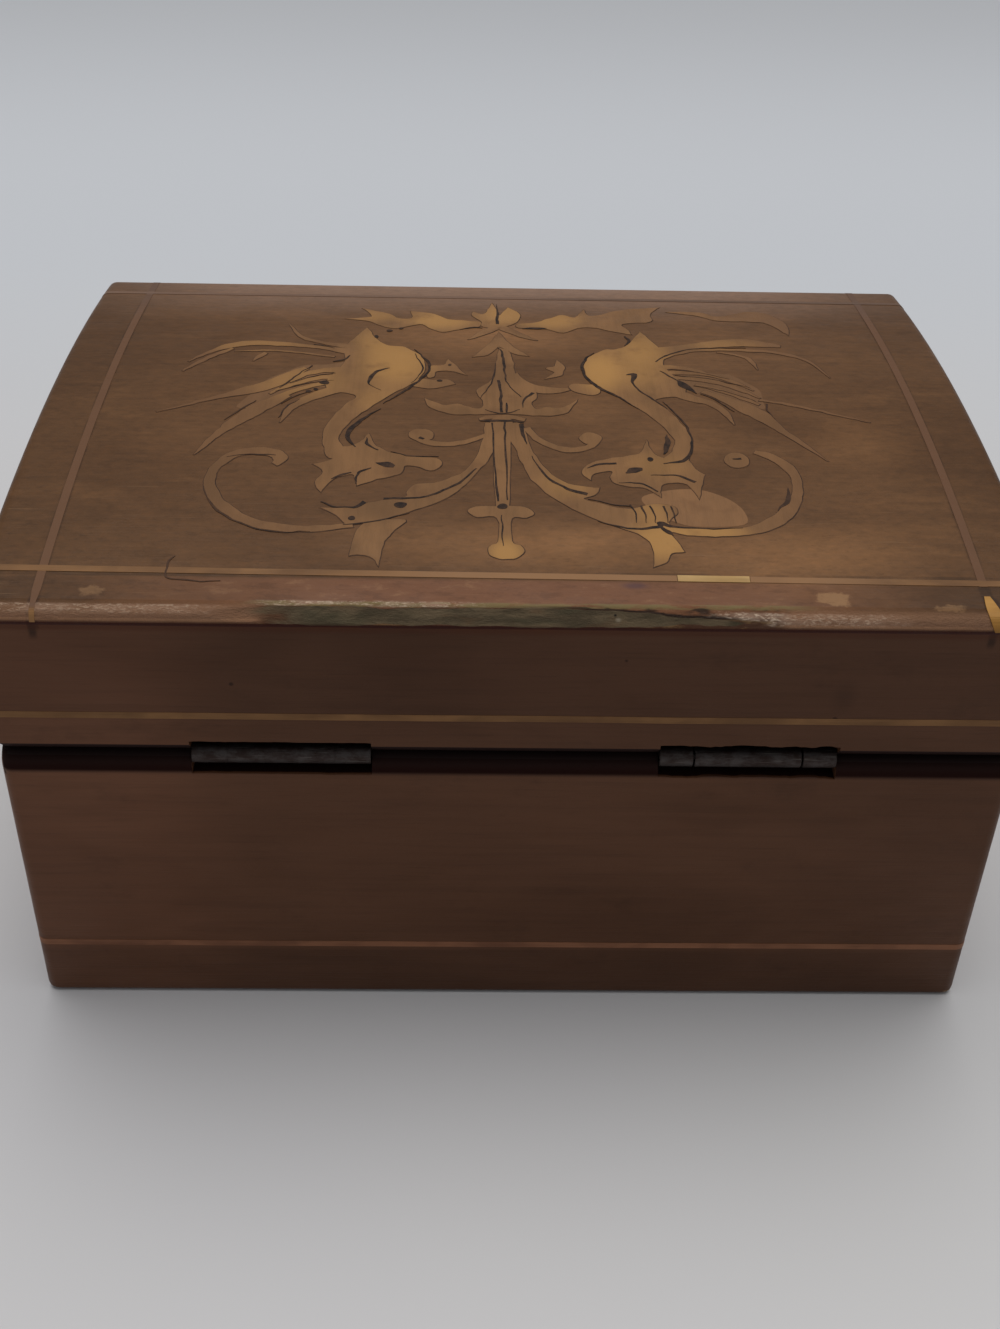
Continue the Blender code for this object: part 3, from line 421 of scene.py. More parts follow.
def paint_rear_edge(look, on_top):
    """The rounded rear top edge: bare, dirty wood where it is worn flat, crazed varnish elsewhere, and
    painted glints, sheen, light and a shadow line.

    Returns where it is worn, and where its varnish is crazed."""
    deep = (look.y + EDGE_CENTRE_Y) * -1.0
    up = look.z - EDGE_CENTRE_Z
    distance = look.math("SQRT", deep * deep + up * up)
    in_corner = look.ramp(deep, -0.6, 0.1) * look.ramp(up, -0.5, 0.1)
    upper = look.ramp(up / look.math("MAXIMUM", deep, 0.05), 0.6, 1.0)
    wavy = look.noise((5, 1.2, 1.2), 41.0, 4, 0.65)
    limit = (wavy - 0.5) * 0.2 + (EDGE_RADIUS - 0.14)
    worn = in_corner * look.ramp(distance, limit, limit - 0.04)
    stretch = look.near(look.x, 1.0, 34.0, 3.0)
    off_stretch = 1.0 - stretch
    # An olive fringe runs along the worn face, and a thin dark line where it starts.
    fringe = look.near(look.y, -EDGE_CENTRE_Y + 0.2, 0.3, 0.35) * look.near(look.x, 2.0, 33.0, 8.0)
    fringe = fringe * look.ramp(wavy, 0.34, 0.52)
    look.paint(fringe * on_top * 0.7, 119, 108, 70)
    rim = in_corner * stretch * look.near(distance, EDGE_RADIUS - 0.09, 0.04, 0.05)
    look.paint(rim * upper * look.ramp(look.x, -6, 12) * 0.85, 34, 24, 18)
    look.paint(rim * (1.0 - upper) * look.ramp(wavy, 0.45, 0.6) * 0.6, 150, 120, 78)
    # Painted glints, with a painted sheen round them, in the crazed varnish.
    crackle = look.noise((0.8, 0.32, 0.32), 45.0, 4, 0.75)
    patches = look.noise((5, 2, 2), 46.0, 3, 0.6)
    glints = [look.near(look.x, centre, reach, reach) * strength for centre, reach, strength in PAINTED_GLINTS]
    lit = look.most(glints)
    crest_y = look.y - look.near(look.x, -15.0, 20.0, 4.0) * 1.1 + look.ramp(look.x, 16, 40) * 0.5
    crest = look.near(crest_y, -EDGE_CENTRE_Y - 0.9, 0.3, 0.5) * lit
    crest = crest * look.ramp(distance, EDGE_RADIUS - 0.12, EDGE_RADIUS - 0.04)
    crest = crest * look.ramp(look.z, EDGE_CENTRE_Z + 0.1, EDGE_CENTRE_Z + 0.7)
    look.paint(crest * look.ramp(patches, 0.35, 0.6) * 0.55, 176, 148, 128)
    look.paint(crest * look.ramp(crackle, 0.48, 0.64) * 0.85, 214, 190, 166)
    # Painted light: away from the worn stretch, the rounded edge is lightened where it turns upright, away
    # from the light above.
    rounding_light = look.ramp(look.y, -EDGE_CENTRE_Y + 0.6, -EDGE_CENTRE_Y - 1.2)
    rounding_light = rounding_light * look.ramp(look.z, EDGE_CENTRE_Z - 0.1, EDGE_CENTRE_Z + 0.4)
    look.paint(rounding_light * off_stretch * 0.55, 160, 120, 92)
    # A dark red line under the rounded edge, partly the wood's colour and partly painted shadow under the top
    # veneer's edge, with a thin light line just above it.
    behind = look.ramp(look.y, REAR_Y + 0.8, REAR_Y + 0.4)
    light_line = behind * off_stretch * look.near(look.z, EDGE_CENTRE_Z + 0.5, 0.1, 0.2)
    look.paint(light_line * look.ramp(wavy, 0.3, 0.5) * 0.5, 180, 134, 100)
    look.paint(behind * look.near(look.z, EDGE_CENTRE_Z - 0.5, 0.3, 0.9) * 0.5, 75, 38, 22)
    look.paint(behind * look.near(look.z, EDGE_CENTRE_Z - 0.2, 0.15, 0.16) * 0.85, 54, 15, 8)
    # The bare wood of the worn face, with a small knot and a hole.
    fine = look.noise((6, 1.3, 1.3), 43.0, 4, 0.65)
    damp = look.noise((9, 2, 2), 47.0, 3, 0.6)
    bare = look.blend(look.ramp(fine, 0.36, 0.64), (80, 68, 51), (108, 92, 70))
    bare = look.mix(look.ramp(damp, 0.5, 0.7) * 0.45, bare, tone(68, 66, 48))
    bare = look.mix(look.ramp(damp, 0.46, 0.34) * 0.45, bare, tone(98, 72, 50))
    fading = look.ramp(look.x + fine * 14.0, -30, -22)
    look.colour = look.mix(worn * fading, look.colour, bare)
    knot = look.spot((13.9, REAR_Y + 1, EDGE_CENTRE_Z + 0.7), 0.62, 0.45, (1, 1, 0.8))
    look.paint(knot * 0.75, 150, 138, 118)
    hole = look.spot((13.5, REAR_Y + 1.3, EDGE_CENTRE_Z + 1.2), 0.34, 0.2)
    look.paint(hole, 20, 16, 14)
    return worn, in_corner * crackle


def plain_wood_look():
    """Unvarnished wood, grey with age, with painted shade where it shows in the groove."""
    look = Look("plain_wood", specular=0.15)
    look.wood((150, 116, 82), (178, 142, 104), seed=14.0, figure=(60, 12, 12))
    dirt = look.noise((22, 22, 22), 51.0, 5, 0.7)
    look.tint(look.ramp(dirt, 0.5, 0.75), 0.7)
    # Painted shade in the groove and the hinge mortises.
    look.paint(groove_shade_share(look), 42, 29, 27)
    return look.finish(0.68, 0.6)


# Bright places of the inlay: (x, y, reach along X, reach along Y, strength).
INLAY_LIGHTS = [
    (-18.5, 14, 9, 13, 0.72), (15, 11, 5, 11, 0.8), (20, 14, 10, 13, 0.48), (21, -38, 7, 7, 0.8),
    (-1.2, -41, 4, 5, 0.8), (28, -35.8, 8, 3, 0.7), (-12, 33, 9, 7, 0.7), (8, 34, 8, 7, 0.6),
    (0, 37, 7, 9, 0.6), (23, 22, 6, 10, 0.45), (-22, 23, 6, 9, 0.45), (20, -31, 4, 4, 0.45),
    (-34, 6, 12, 9, 0.35), (-42, 20, 14, 5, 0.35), (-24, 35, 8, 5, 0.4), (-21, 0, 6, 7, 0.3),
    (22, -19, 7, 5, 0.22), (37, 23, 9, 4, 0.3), (8, -24, 6, 6, 0.3),
]
# Duller places of the inlay, given the same way.
INLAY_SHADES = [
    (-20, -31, 9, 5, 0.5), (-44, -25, 6, 12, 0.6), (-12, 6, 5, 5, 0.3), (-9, -4, 7, 4, 0.45),
    (42, -7, 6, 7, 0.5), (-1, 10, 4, 7, 0.35), (-12, -12, 6, 4, 0.4),
]


def inlay_look(name="light_inlay", dark=(120, 86, 54), light=(136, 98, 62), lights=INLAY_LIGHTS):
    """Light figured wood: bright in places, duller away from the middle, with scorched shading."""
    look = Look(name)
    look.wood(dark, light, "Y", 24.0, (16, 9, 9), 0.7, 0.9)
    look.paint(look.ramp(abs(look.x), 24, 54) * 0.75, 110, 77, 50)
    for place in look.on_dome(lights, 0.8):
        look.paint(place, 178, 132, 74)
    for place in look.on_dome(INLAY_SHADES, 0.8):
        look.paint(place, 96, 68, 42)
    scorch = look.noise((7, 7, 7), 61.0, 3, 0.6)
    look.paint(look.ramp(scorch, 0.56, 0.74) * 0.4, 98, 66, 42)
    return look.finish(look.varnish(24.0))


def ink_look():
    """The scorched lines drawn on the inlay, paler towards the ends of the lid."""
    look = Look("scorched_line")
    soot = look.noise((1.4, 1.4, 1.4), 71.0, 4, 0.7)
    look.colour = look.blend(look.ramp(soot, 0.35, 0.7), (32, 21, 16), (70, 48, 33))
    look.paint(look.ramp(abs(look.x), 30, 48) * 0.6, 84, 57, 38)
    look.height = soot * 0.1
    return look.finish(0.5, 0.4)


def joint_look():
    """The thin dark line where an inlaid piece meets the veneer, which also serves as painted shadow along
    the pieces' near sides.
    """
    look = Look("dark_joint_and_shadow")
    soot = look.noise((2.6, 2.6, 2.6), 73.0, 4, 0.7)
    look.colour = look.blend(look.ramp(soot, 0.35, 0.7), (54, 36, 25), (86, 59, 39))
    look.height = soot * 0.05
    return look.finish(0.5, 0.4)


def string_look(name="string_wood", dark=(112, 79, 50), light=(136, 98, 62), seed=34.0):
    """Light line wood: dull at the sides, bright near the hinges and faint at the far edge."""
    look = Look(name)
    look.wood(dark, light, "X", seed, (14, 9, 9), 0.6, 0.86)
    if name == "string_wood":
        on_lid = look.ramp(look.z, EDGE_CENTRE_Z - 3, EDGE_CENTRE_Z - 1)
        at_side = on_lid * look.near(abs(look.x), SIDE_STRING_X, 0.8, 0.2)
        from_rear = look.y + look.x * -REAR_LINE_SKEW + END_STRING_Y
        look.paint(at_side * look.ramp(abs(from_rear), STRING_HALF, STRING_HALF + 0.1) * 0.9, 103, 72, 51)
        look.paint(at_side * look.ramp(look.y, 30, 46) * 0.7, 98, 74, 60)
        at_rear = on_lid * look.near(look.y, -END_STRING_Y, 1.4, 0.3) * look.near(look.x, 17.0, 26.0, 14.0)
        look.paint(at_rear * 0.7, 150, 111, 76)
        far_tone = look.blend(look.ramp(look.x, 2, 16), (116, 90, 74), (101, 78, 64))
        at_far = on_lid * look.near(look.y, END_STRING_Y, 0.8, 0.2)
        look.colour = look.mix(at_far * 0.9, look.colour, far_tone)
        on_body = look.ramp(look.z, BASE_LINE_LOW_Z + 10, BASE_LINE_LOW_Z + 8)
        look.tint(on_body, 1.12, 0.98, 1.28)
        look.paint(at_side * look.ramp(look.y, REAR_Y + 1.2, REAR_Y + 0.4) * 0.6, 172, 128, 82)
    return look.finish(look.varnish(seed), 0.4)


def steel_look():
    """Aged, oiled steel: dark brown-grey with worn bright spots and fine scratches."""
    look = Look("aged_steel", specular=0.5, metallic=0.85)
    rust = look.noise((2.6, 1.4, 1.4), 81.0, 5, 0.7)
    look.colour = look.blend(look.ramp(rust, 0.35, 0.65), (72, 66, 64), (50, 38, 34))
    scratch = look.noise((5, 0.16, 0.16), 83.0, 2, 0.5)
    look.paint(look.ramp(scratch, 0.62, 0.72) * 0.4, 130, 124, 118)
    look.height = rust * 0.25 + scratch * -0.1
    return look.finish(rust * 0.3 + 0.34)


def floor_look():
    """A pale floor that turns cooler and then darker far behind the box."""
    look = Look("pale_floor", specular=0.2)
    cloud = look.noise((160, 160, 160), 91.0, 2, 0.5)
    look.colour = look.blend(look.ramp(cloud, 0.3, 0.7), (203, 202, 204), (207, 206, 206))
    look.paint(look.ramp(look.y, 60, 260), 201, 204, 209)
    look.paint(look.ramp(look.y, 300, 620), 178, 180, 184)
    return look.finish(0.6)


MATERIALS = {
    "veneer": veneer_look(),
    "plain": plain_wood_look(),
    "inlay": inlay_look(),
    "shaded_inlay": inlay_look("shaded_inlay", (114, 82, 53), (128, 92, 60), ()),
    "stone": inlay_look("inlay_stone", (132, 95, 62), (142, 102, 66), ()),
    "ink": ink_look(),
    "joint_and_shadow": joint_look(),
    "string": string_look(),
    "bare_string": string_look("bare_string_wood", (178, 142, 90), (202, 166, 112), 37.0),
    "loose_string": string_look("loose_string_wood", (150, 106, 52), (184, 136, 70), 38.0),
    "steel": steel_look(),
    "floor": floor_look(),
}
SLOTS = {"veneer": "brown_veneer", "plain": "plain_wood", "steel": "aged_steel",
         **dict.fromkeys(("string", "bare_string", "loose_string"), "string_wood"),
         **dict.fromkeys(("inlay", "shaded_inlay", "stone", "ink", "joint_and_shadow"), "light_inlay")}


# ---------------------------------------------------------------- mesh helpers

def make_object(name, shape, material, body, replaced=()):
    """Turn a bmesh drawn in millimetres into a piece that rides on a body."""
    bmesh.ops.recalc_face_normals(shape, faces=shape.faces)
    bmesh.ops.scale(shape, vec=(MM, MM, MM), verts=shape.verts)
    mesh = bpy.data.meshes.new(name)
    shape.to_mesh(mesh)
    shape.free()
    made = bpy.data.objects.new(name, mesh)
    bpy.context.scene.collection.objects.link(made)
    mesh.materials.append(MATERIALS[material])
    if body:
        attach(made, body)
    if replaced:
        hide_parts(*replaced)
    return made


def loft(sections):
    """A closed solid through sections that have the same number of points."""
    shape = bmesh.new()
    rings = [[shape.verts.new(p) for p in section] for section in sections]
    for near, far in zip(rings, rings[1:]):
        for i in range(len(near)):
            j = (i + 1) % len(near)
            shape.faces.new((near[i], near[j], far[j], far[i]))
    shape.faces.new(reversed(rings[0]))
    shape.faces.new(rings[-1])
    return shape


def block_shape(low, high):
    """A box between two opposite corners."""
    outline = [(low[0], low[1]), (high[0], low[1]), (high[0], high[1]), (low[0], high[1])]
    return loft([[(x, y, z) for x, y in outline] for z in (low[2], high[2])])


def applied(piece):
    """The piece with its modifiers worked into its mesh."""
    graph = bpy.context.evaluated_depsgraph_get()
    mesh = bpy.data.meshes.new_from_object(piece.evaluated_get(graph))
    old = piece.data
    piece.modifiers.clear()
    piece.data = mesh
    mesh.name = old.name
    bpy.data.meshes.remove(old)
    return piece


def cut(piece, shapes):
    """Take each shape out of the piece."""
    for shape in shapes:
        tool = make_object("cutter", shape, "plain", None)
        modifier = piece.modifiers.new("cut", "BOOLEAN")
        modifier.object = tool
        modifier.solver = "EXACT"
        applied(piece)
        bpy.data.objects.remove(tool, do_unlink=True)
    return piece


def shade(piece, angle):
    """Shade the piece smooth, but for edges sharper than the angle in degrees."""
    piece.data.shade_smooth()
    piece.data.set_sharp_from_angle(angle=math.radians(angle))
    return piece


def soften(piece, width):
    """Round the sharp edges and shade the rest smooth."""
    modifier = piece.modifiers.new("arris", "BEVEL")
    modifier.width = width * MM
    modifier.segments = 2
    modifier.limit_method = "ANGLE"
    modifier.angle_limit = math.radians(35)
    applied(piece)
    return shade(piece, 50)


def refined(node, material, body, width):
    """A copy of a CAD piece with clean faces and softened edges, which stands for it."""
    shape = bmesh.new()
    shape.from_mesh(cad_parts[node].data)
    bmesh.ops.scale(shape, vec=(1 / MM,) * 3, verts=shape.verts)
    bmesh.ops.remove_doubles(shape, verts=shape.verts, dist=0.002)
    bmesh.ops.dissolve_limit(shape, angle_limit=math.radians(1), verts=shape.verts, edges=shape.edges)
    made = make_object(node + "_finished", shape, material, body, (node,))
    return soften(made, width)


# ---------------------------------------------------------------- the domed surface

def edge_arc(inset, steps):
    """The rounded rear edge, from its upright face up to where it meets the dome."""
    end = math.atan2(EDGE_CENTRE_Z - DOME_CENTRE_Z, -EDGE_CENTRE_Y)
    turns = [math.pi + (end - math.pi) * i / steps for i in range(steps + 1)]
    radius = EDGE_RADIUS - inset
    return [(-EDGE_CENTRE_Y + radius * math.cos(t), EDGE_CENTRE_Z + radius * math.sin(t)) for t in turns]


def lid_section(inset, dome_steps=44, edge_steps=12):
    """The lid's outline in the Y-Z plane, from the groove over the dome to the front's lower edge."""
    slope = GROOVE_TOP_Z - LID_BOTTOM
    rear = edge_arc(inset, edge_steps)
    front = [(-y, z) for y, z in reversed(rear)]
    low, high = rear[-1][0], front[0][0]
    dome = [low + (high - low) * i / dome_steps for i in range(1, dome_steps)]
    face = REAR_Y + inset
    rear_face = [(face, z) for z in (GROOVE_TOP_Z + 0.15, 60.0, 67.0, 70.0, 71.5, 72.3)]
    front_face = [(-y, z) for y, z in reversed(rear_face[1:])]
    return ([(REAR_Y + slope + inset, LID_BOTTOM), (face + 0.15, GROOVE_TOP_Z)] + rear_face + rear
            + [(y, dome_z(y, inset)) for y in dome] + front + front_face
            + [(-face, LID_BOTTOM + 0.4), (-face - 0.4, LID_BOTTOM)])


def clamped(share):
    return min(max(share, 0.0), 1.0)


def worn_share(x):
    """How deep the rear edge is worn at x, from 0 past the worn stretch's ends to about 1 in its middle."""
    start, full, fading, end = WEAR_X
    rise = clamped((x - start) / (full - start))
    fall = clamped((end - x) / (end - fading))
    wave = 0.14 * math.sin(x / 5.3 + 0.8) + 0.08 * math.sin(x / 2.1)
    wave += 0.3 * noise.noise(Vector((x / 4.0, 3.1, 0)))
    return rise * fall ** 1.4 * (1.0 + wave)


def wear(point):
    """Move a point on the rounded rear edge down to the worn face, or dent it a little."""
    x, y, z = point
    deep, up = y + EDGE_CENTRE_Y, z - EDGE_CENTRE_Z
    distance = math.hypot(deep, up)
    if deep > 2.4 or up < -2.6:
        return Vector(point)
    turned = clamped((x - WEAR_X[2]) / (WEAR_X[3] - WEAR_X[2]))
    tilt = math.radians(WEAR_TURN[0] + turned * (WEAR_TURN[1] - WEAR_TURN[0]))
    normal = Vector((0, -math.sin(tilt), math.cos(tilt)))
    height = Vector((0, deep, up)).dot(normal)
    limit = EDGE_RADIUS - WEAR_DEPTH * worn_share(x)
    limit += 0.05 * noise.noise(Vector((x / 1.1, y / 0.8, z / 0.8)))
    spot = Vector(point)
    if worn_share(x) > 0 and height > limit:
        spot -= normal * (height - limit)
    elif deep < 0 and up > 0 and distance > 0.1:
        dent = noise.noise(Vector((x / 1.3, y / 0.9, z / 0.9)))
        dent += 0.6 * noise.noise(Vector((x / 4.5, 7.0, 1.0)))
        spot -= Vector((0, deep, up)).normalized() * max(0.0, 0.1 * dent)
    return spot


def stations(half, radius, step):
    """Places along X with the inset that rounds the corners at both ends."""
    turns = [math.pi / 2 * i / 5 for i in range(5)]
    ends = [(half - radius + radius * math.cos(t), radius * (1 - math.sin(t))) for t in turns]
    count = round(2 * (half - radius) / step)
    middle = [-half + radius + 2 * (half - radius) * i / count for i in range(count + 1)]
    return [(-x, inset) for x, inset in ends] + [(x, 0.0) for x in middle] + list(reversed(ends))


def ragged_block(low, high, edge_z, amount):
    """A block whose face at edge_z is uneven along X, as if it were cut with a blunt chisel."""
    count = 36
    other_z = low[2] if edge_z == high[2] else high[2]
    sections = []
    for i in range(count + 1):
        x = low[0] + (high[0] - low[0]) * i / count
        wave = noise.noise(Vector((x / 3.2, edge_z, 0))) + 0.5 * noise.noise(Vector((x / 0.9, edge_z, 4)))
        uneven = edge_z + amount * wave * (1 if edge_z > other_z else -1)
        outline = [(low[1], other_z), (high[1], other_z), (high[1], uneven), (low[1], uneven)]
        sections.append([(x, y, z) for y, z in outline])
    return loft(sections)


def hinge_cutters(top):
    """The mortises for the barrels and leaves, in the lid's rail or in the body's wall."""
    made = []
    for side, (low, high) in HINGES.items():
        rough = MORTISE_ROUGHNESS[side]
        x0, x1 = low.x - 0.15, high.x + 0.15
        barrel_y = HINGE_Y + BARREL_RADIUS + 0.3
        leaf_y = REAR_Y + WALL - 0.3
        if top:
            made.append(ragged_block((x0, REAR_Y - 1, LID_BOTTOM - 1), (x1, barrel_y, MORTISE_TOP_Z),
                                     MORTISE_TOP_Z, rough))
            made.append(block_shape((x0, barrel_y - 1, LID_BOTTOM - 1), (x1, leaf_y, LID_BOTTOM + 1.1)))
        else:
            made.append(ragged_block((x0, REAR_Y - 1, MORTISE_LOW_Z), (x1, barrel_y, BODY_TOP + 1),
                                     MORTISE_LOW_Z, rough))
            made.append(block_shape((x0, barrel_y - 1, BODY_TOP - 1.1), (x1, leaf_y, BODY_TOP + 1)))
    return made


def paint(piece, inside, material):
    """Give the faces for which inside(centre, normal) is true a second material."""
    piece.data.materials.append(MATERIALS[material])
    index = len(piece.data.materials) - 1
    for face in piece.data.polygons:
        if inside(face.center / MM, face.normal):
            face.material_index = index


def make_lid_shell():
    sections = []
    for x, inset in stations(HALF_LID, CORNER_RADIUS, 0.8):
        sections.append([wear((x, y, z)) for y, z in lid_section(inset)])
    rails = [f"lid_{side}_rail" for side in ("rear", "front", "left", "right")]
    shell = make_object("lid_shell", loft(sections), "veneer", "lid",
                        ("lid_top_board", *rails, "field_veneer"))
    low_y, high_y = REAR_Y + WALL, LID_FRONT_Y
    steps = 16
    arch = [(low_y + (high_y - low_y) * i / steps) for i in range(steps + 1)]
    outline = [(low_y, LID_BOTTOM - 1), *((y, dome_z(y, BOARD)) for y in arch), (high_y, LID_BOTTOM - 1)]
    half = HALF_LID - WALL
    hollow = loft([[(x, y, z) for y, z in outline] for x in (-half, half)])
    plate_low, plate_high = corners("strike_plate")
    pocket = block_shape((plate_low.x - 0.3, LID_FRONT_Y - 1, LID_BOTTOM - 1),
                         (plate_high.x + 0.3, plate_high.y + 0.3, LID_BOTTOM + 1.3))
    cut(shell, [hollow, pocket, *hinge_cutters(True)])

    def is_bare(centre, normal):
        rim = centre.z < LID_BOTTOM + 1.2 and abs(normal.z) > 0.9
        in_plan = abs(centre.x) < half + 0.1 and low_y - 0.1 < centre.y < high_y + 0.1
        return rim or (in_plan and centre.z < dome_z(centre.y, BOARD) + 0.1)

    paint(shell, is_bare, "plain")
    shade(shell, 38)


def body_section(inset, top_inset=0.0):
    """The body shell's outline seen from above: three walls, and a skin over the front wall's ends."""
    out_x = HALF_BODY - inset
    rear = REAR_Y + inset + top_inset
    radius = CORNER_RADIUS
    turns = [math.pi / 2 * i / 4 for i in range(5)]
    corner = [(radius * math.sin(turn), radius * (1 - math.cos(turn))) for turn in turns]
    skin = min(HALF_BODY - VENEER, out_x - SKIN_AT_FOOT)
    right = [(out_x - radius + a, rear + b) for a, b in corner]
    right += [(out_x, FRONT_WALL_HIGH.y), (skin, FRONT_WALL_HIGH.y), (skin, FRONT_WALL_LOW.y),
              (HALF_BODY - WALL, FRONT_WALL_LOW.y), (HALF_BODY - WALL, REAR_Y + WALL)]
    left = [(-x, y) for x, y in reversed(right)]
    return right + left


def make_body_shell():
    """The rear and side walls under one skin of veneer, with the rear top edge eased into the groove."""
    radius = BODY_TOP - GROOVE_LOW_Z
    levels = []
    for i in range(5):
        turn = math.pi / 2 * i / 4
        levels.append((FOOT_RADIUS * (1 - math.cos(turn)), FOOT_RADIUS * (1 - math.sin(turn)), 0.0))
    levels.append((GROOVE_LOW_Z, 0.0, 0.0))
    for i in range(1, 7):
        turn = math.pi / 2 * i / 6
        levels.append((GROOVE_LOW_Z + radius * math.sin(turn), 0.0, radius * (1 - math.cos(turn))))
    sections = [[(x, y, z) for x, y in body_section(inset, back)] for z, inset, back in levels]
    shell = make_object("body_shell", loft(sections), "veneer", "body",
                        ("rear_wall", "left_wall", "right_wall"))
    drawer_low, drawer_high = corners("drawer_front")
    tray_low, tray_high = corners("drawer_tray")
    recess = block_shape((drawer_low.x - 0.3, REAR_Y + WALL, -1),
                         (HALF_BODY + 1, FRONT_WALL_LOW.y, drawer_high.z + 0.3))
    opening = block_shape((HALF_BODY - WALL - 1, tray_low.y - 0.3, tray_low.z - 0.3),
                          (HALF_BODY, tray_high.y + 0.3, tray_high.z + 0.3))
    cut(shell, [recess, opening, *hinge_cutters(False)])

    def is_bare(centre, normal):
        inner_face = abs(centre.x) < HALF_BODY - WALL + 0.1 and centre.y > REAR_Y + WALL - 0.1
        rim_or_foot = (centre.z > BODY_TOP - 1.2 and normal.z > 0.9) or centre.z < 0.1
        in_recess = drawer_low.x - 0.5 < centre.x < HALF_BODY - 0.5 and centre.z < drawer_high.z + 0.4
        return inner_face or rim_or_foot or in_recess

    paint(shell, is_bare, "plain")
    shade(shell, 38)


# ---------------------------------------------------------------- the light lines

def swept_bar(path, across, down, half, proud, deep):
    """A bar along a path: across is its width's direction, and down points into the wood.

    The half width is one number, or a list with one for each point."""
    across = Vector(across)
    halves = half if isinstance(half, list) else [half] * len(path)
    sections = []
    for point, into, reach in zip(path, down, halves):
        top, bottom = Vector(point) - Vector(into) * proud, Vector(point) + Vector(into) * deep
        side = across * reach
        sections.append([top - side, top + side, bottom + side, bottom - side])
    return loft(sections)


def wrapped_path(x, low_z, steps=40):
    """Points over the dome at x, down both upright faces to low_z, each with the way into the wood."""
    pairs = []
    for y, z in lid_section(0.0, steps, 8):
        if z < low_z:
            continue
        deep, up = abs(y) - EDGE_CENTRE_Y, z - EDGE_CENTRE_Z
        if deep > 0 and up > 0:
            way = Vector((0, -math.copysign(deep, y), -up)).normalized()
        elif up <= 0:
            way = Vector((0, -math.copysign(1, y), 0))
        else:
            way = Vector((0, -y, DOME_CENTRE_Z - z)).normalized()
        pairs.append((wear((x, y, z)) if y < 0 else Vector((x, y, z)), way))
    return pairs


def lengthwise_line(name, y, skew, low, high, material, replaced=()):
    """A light line along the dome at y, from x = low to high; it dips with the rounded ends."""
    edges = [(x, inset) for x, inset in stations(HALF_LID, CORNER_RADIUS, 8.0)[1:-1] if low < x < high]
    ends = [(x, 0.0) for x in (low, high) if abs(x) < HALF_LID]
    path, ways = [], []
    for x, inset in sorted(edges + ends):
        at = y + skew * x
        path.append(Vector((x, at, dome_z(at, inset))))
        ways.append(Vector((0, -at, DOME_CENTRE_Z - path[-1].z)).normalized())
    across = (Vector((0, 1, 0)) - ways[0] * ways[0].y).normalized()
    extra = 0.04 if material == "bare_string" else 0.0
    shape = swept_bar(path, across, ways, STRING_HALF + extra, PROUD + 0.02 + extra, STRING_DEEP)
    make_object(name, shape, material, "lid", replaced)


def make_top_strings():
    """The lines on the dome. At the rear edge the left one is worn thin and the right one has come loose."""
    for side, x in (("left", -SIDE_STRING_X), ("right", SIDE_STRING_X)):
        last_y = BROKEN_LINE_Y if side == "right" else REAR_Y - 1
        kept = [(p, w) for p, w in wrapped_path(x, EDGE_CENTRE_Z - 1.9)
                if p.y > last_y and (p.y > 0 or p.z > EDGE_CENTRE_Z - 0.4)]
        halves = [STRING_HALF if p.y > THIN_LINE_Y else STRING_HALF * 0.62 for p, w in kept]
        shape = swept_bar([p for p, w in kept], (1, 0, 0), [w for p, w in kept], halves, PROUD, STRING_DEEP)
        make_object(f"top_string_{side}_line", shape, "string", "lid", (f"top_string_{side}",))
    near = [(p, w) for p, w in wrapped_path(SIDE_STRING_X, EDGE_CENTRE_Z, 200) if p.y < LOOSE_END_Y]
    path, halves = [], []
    for i, (point, _way) in enumerate(near):
        share = i / (len(near) - 1)
        path.append(point + Vector((0.75 - 0.8 * share, 0, 0)))
        halves.append(0.28 + 0.66 * math.sin(math.pi * (0.08 + 0.86 * share)))
    shape = swept_bar(path, (1, 0, 0), [way for _point, way in near], halves, PROUD + 0.12, 0.3)
    make_object("top_string_right_loose_end", shape, "loose_string", "lid")
    for name, y, skew, low, high, material, replaced in (
            ("near_left", -END_STRING_Y, REAR_LINE_SKEW, -HALF_LID, BARE_PATCH_X[0] - 0.1, "string",
             ("top_string_rear",)),
            ("near_patch", -END_STRING_Y, REAR_LINE_SKEW, *BARE_PATCH_X, "bare_string", ()),
            ("near_right", -END_STRING_Y, REAR_LINE_SKEW, BARE_PATCH_X[1] + 0.1, HALF_LID, "string", ()),
            ("far_line", END_STRING_Y, 0.0, -HALF_LID, HALF_LID, "string", ("top_string_front",))):
        lengthwise_line("top_string_" + name, y, skew, low, high, material, replaced)


def ring_path(half_x, z, front_y):
    """Points round the box at height z from the right front to the left front, each with the way in."""
    reach = half_x - CORNER_RADIUS
    corner_y = REAR_Y + CORNER_RADIUS
    points, ways = [], []
    for i in range(13):
        points.append(Vector((half_x, front_y + (corner_y - front_y) * i / 12, z)))
        ways.append(Vector((-1, 0, 0)))
    for i in range(1, 6):
        turn = math.pi / 2 * i / 6
        out = Vector((math.cos(turn), -math.sin(turn), 0))
        points.append(Vector((reach, corner_y, z)) + out * CORNER_RADIUS)
        ways.append(-out)
    for i in range(25):
        points.append(Vector((reach - 2 * reach * i / 24, REAR_Y, z)))
        ways.append(Vector((0, 1, 0)))
    flipped = [(Vector((-p.x, p.y, p.z)), Vector((-w.x, w.y, w.z))) for p, w in zip(points, ways)]
    flipped = [pair for pair in reversed(flipped) if pair[0].x < -reach - 0.01]
    return points + [p for p, w in flipped], ways + [w for p, w in flipped]


def wall_bar(points, ways):
    return swept_bar(points, (0, 0, 1), ways, STRING_HALF - 0.05, PROUD - 0.01, STRING_DEEP)


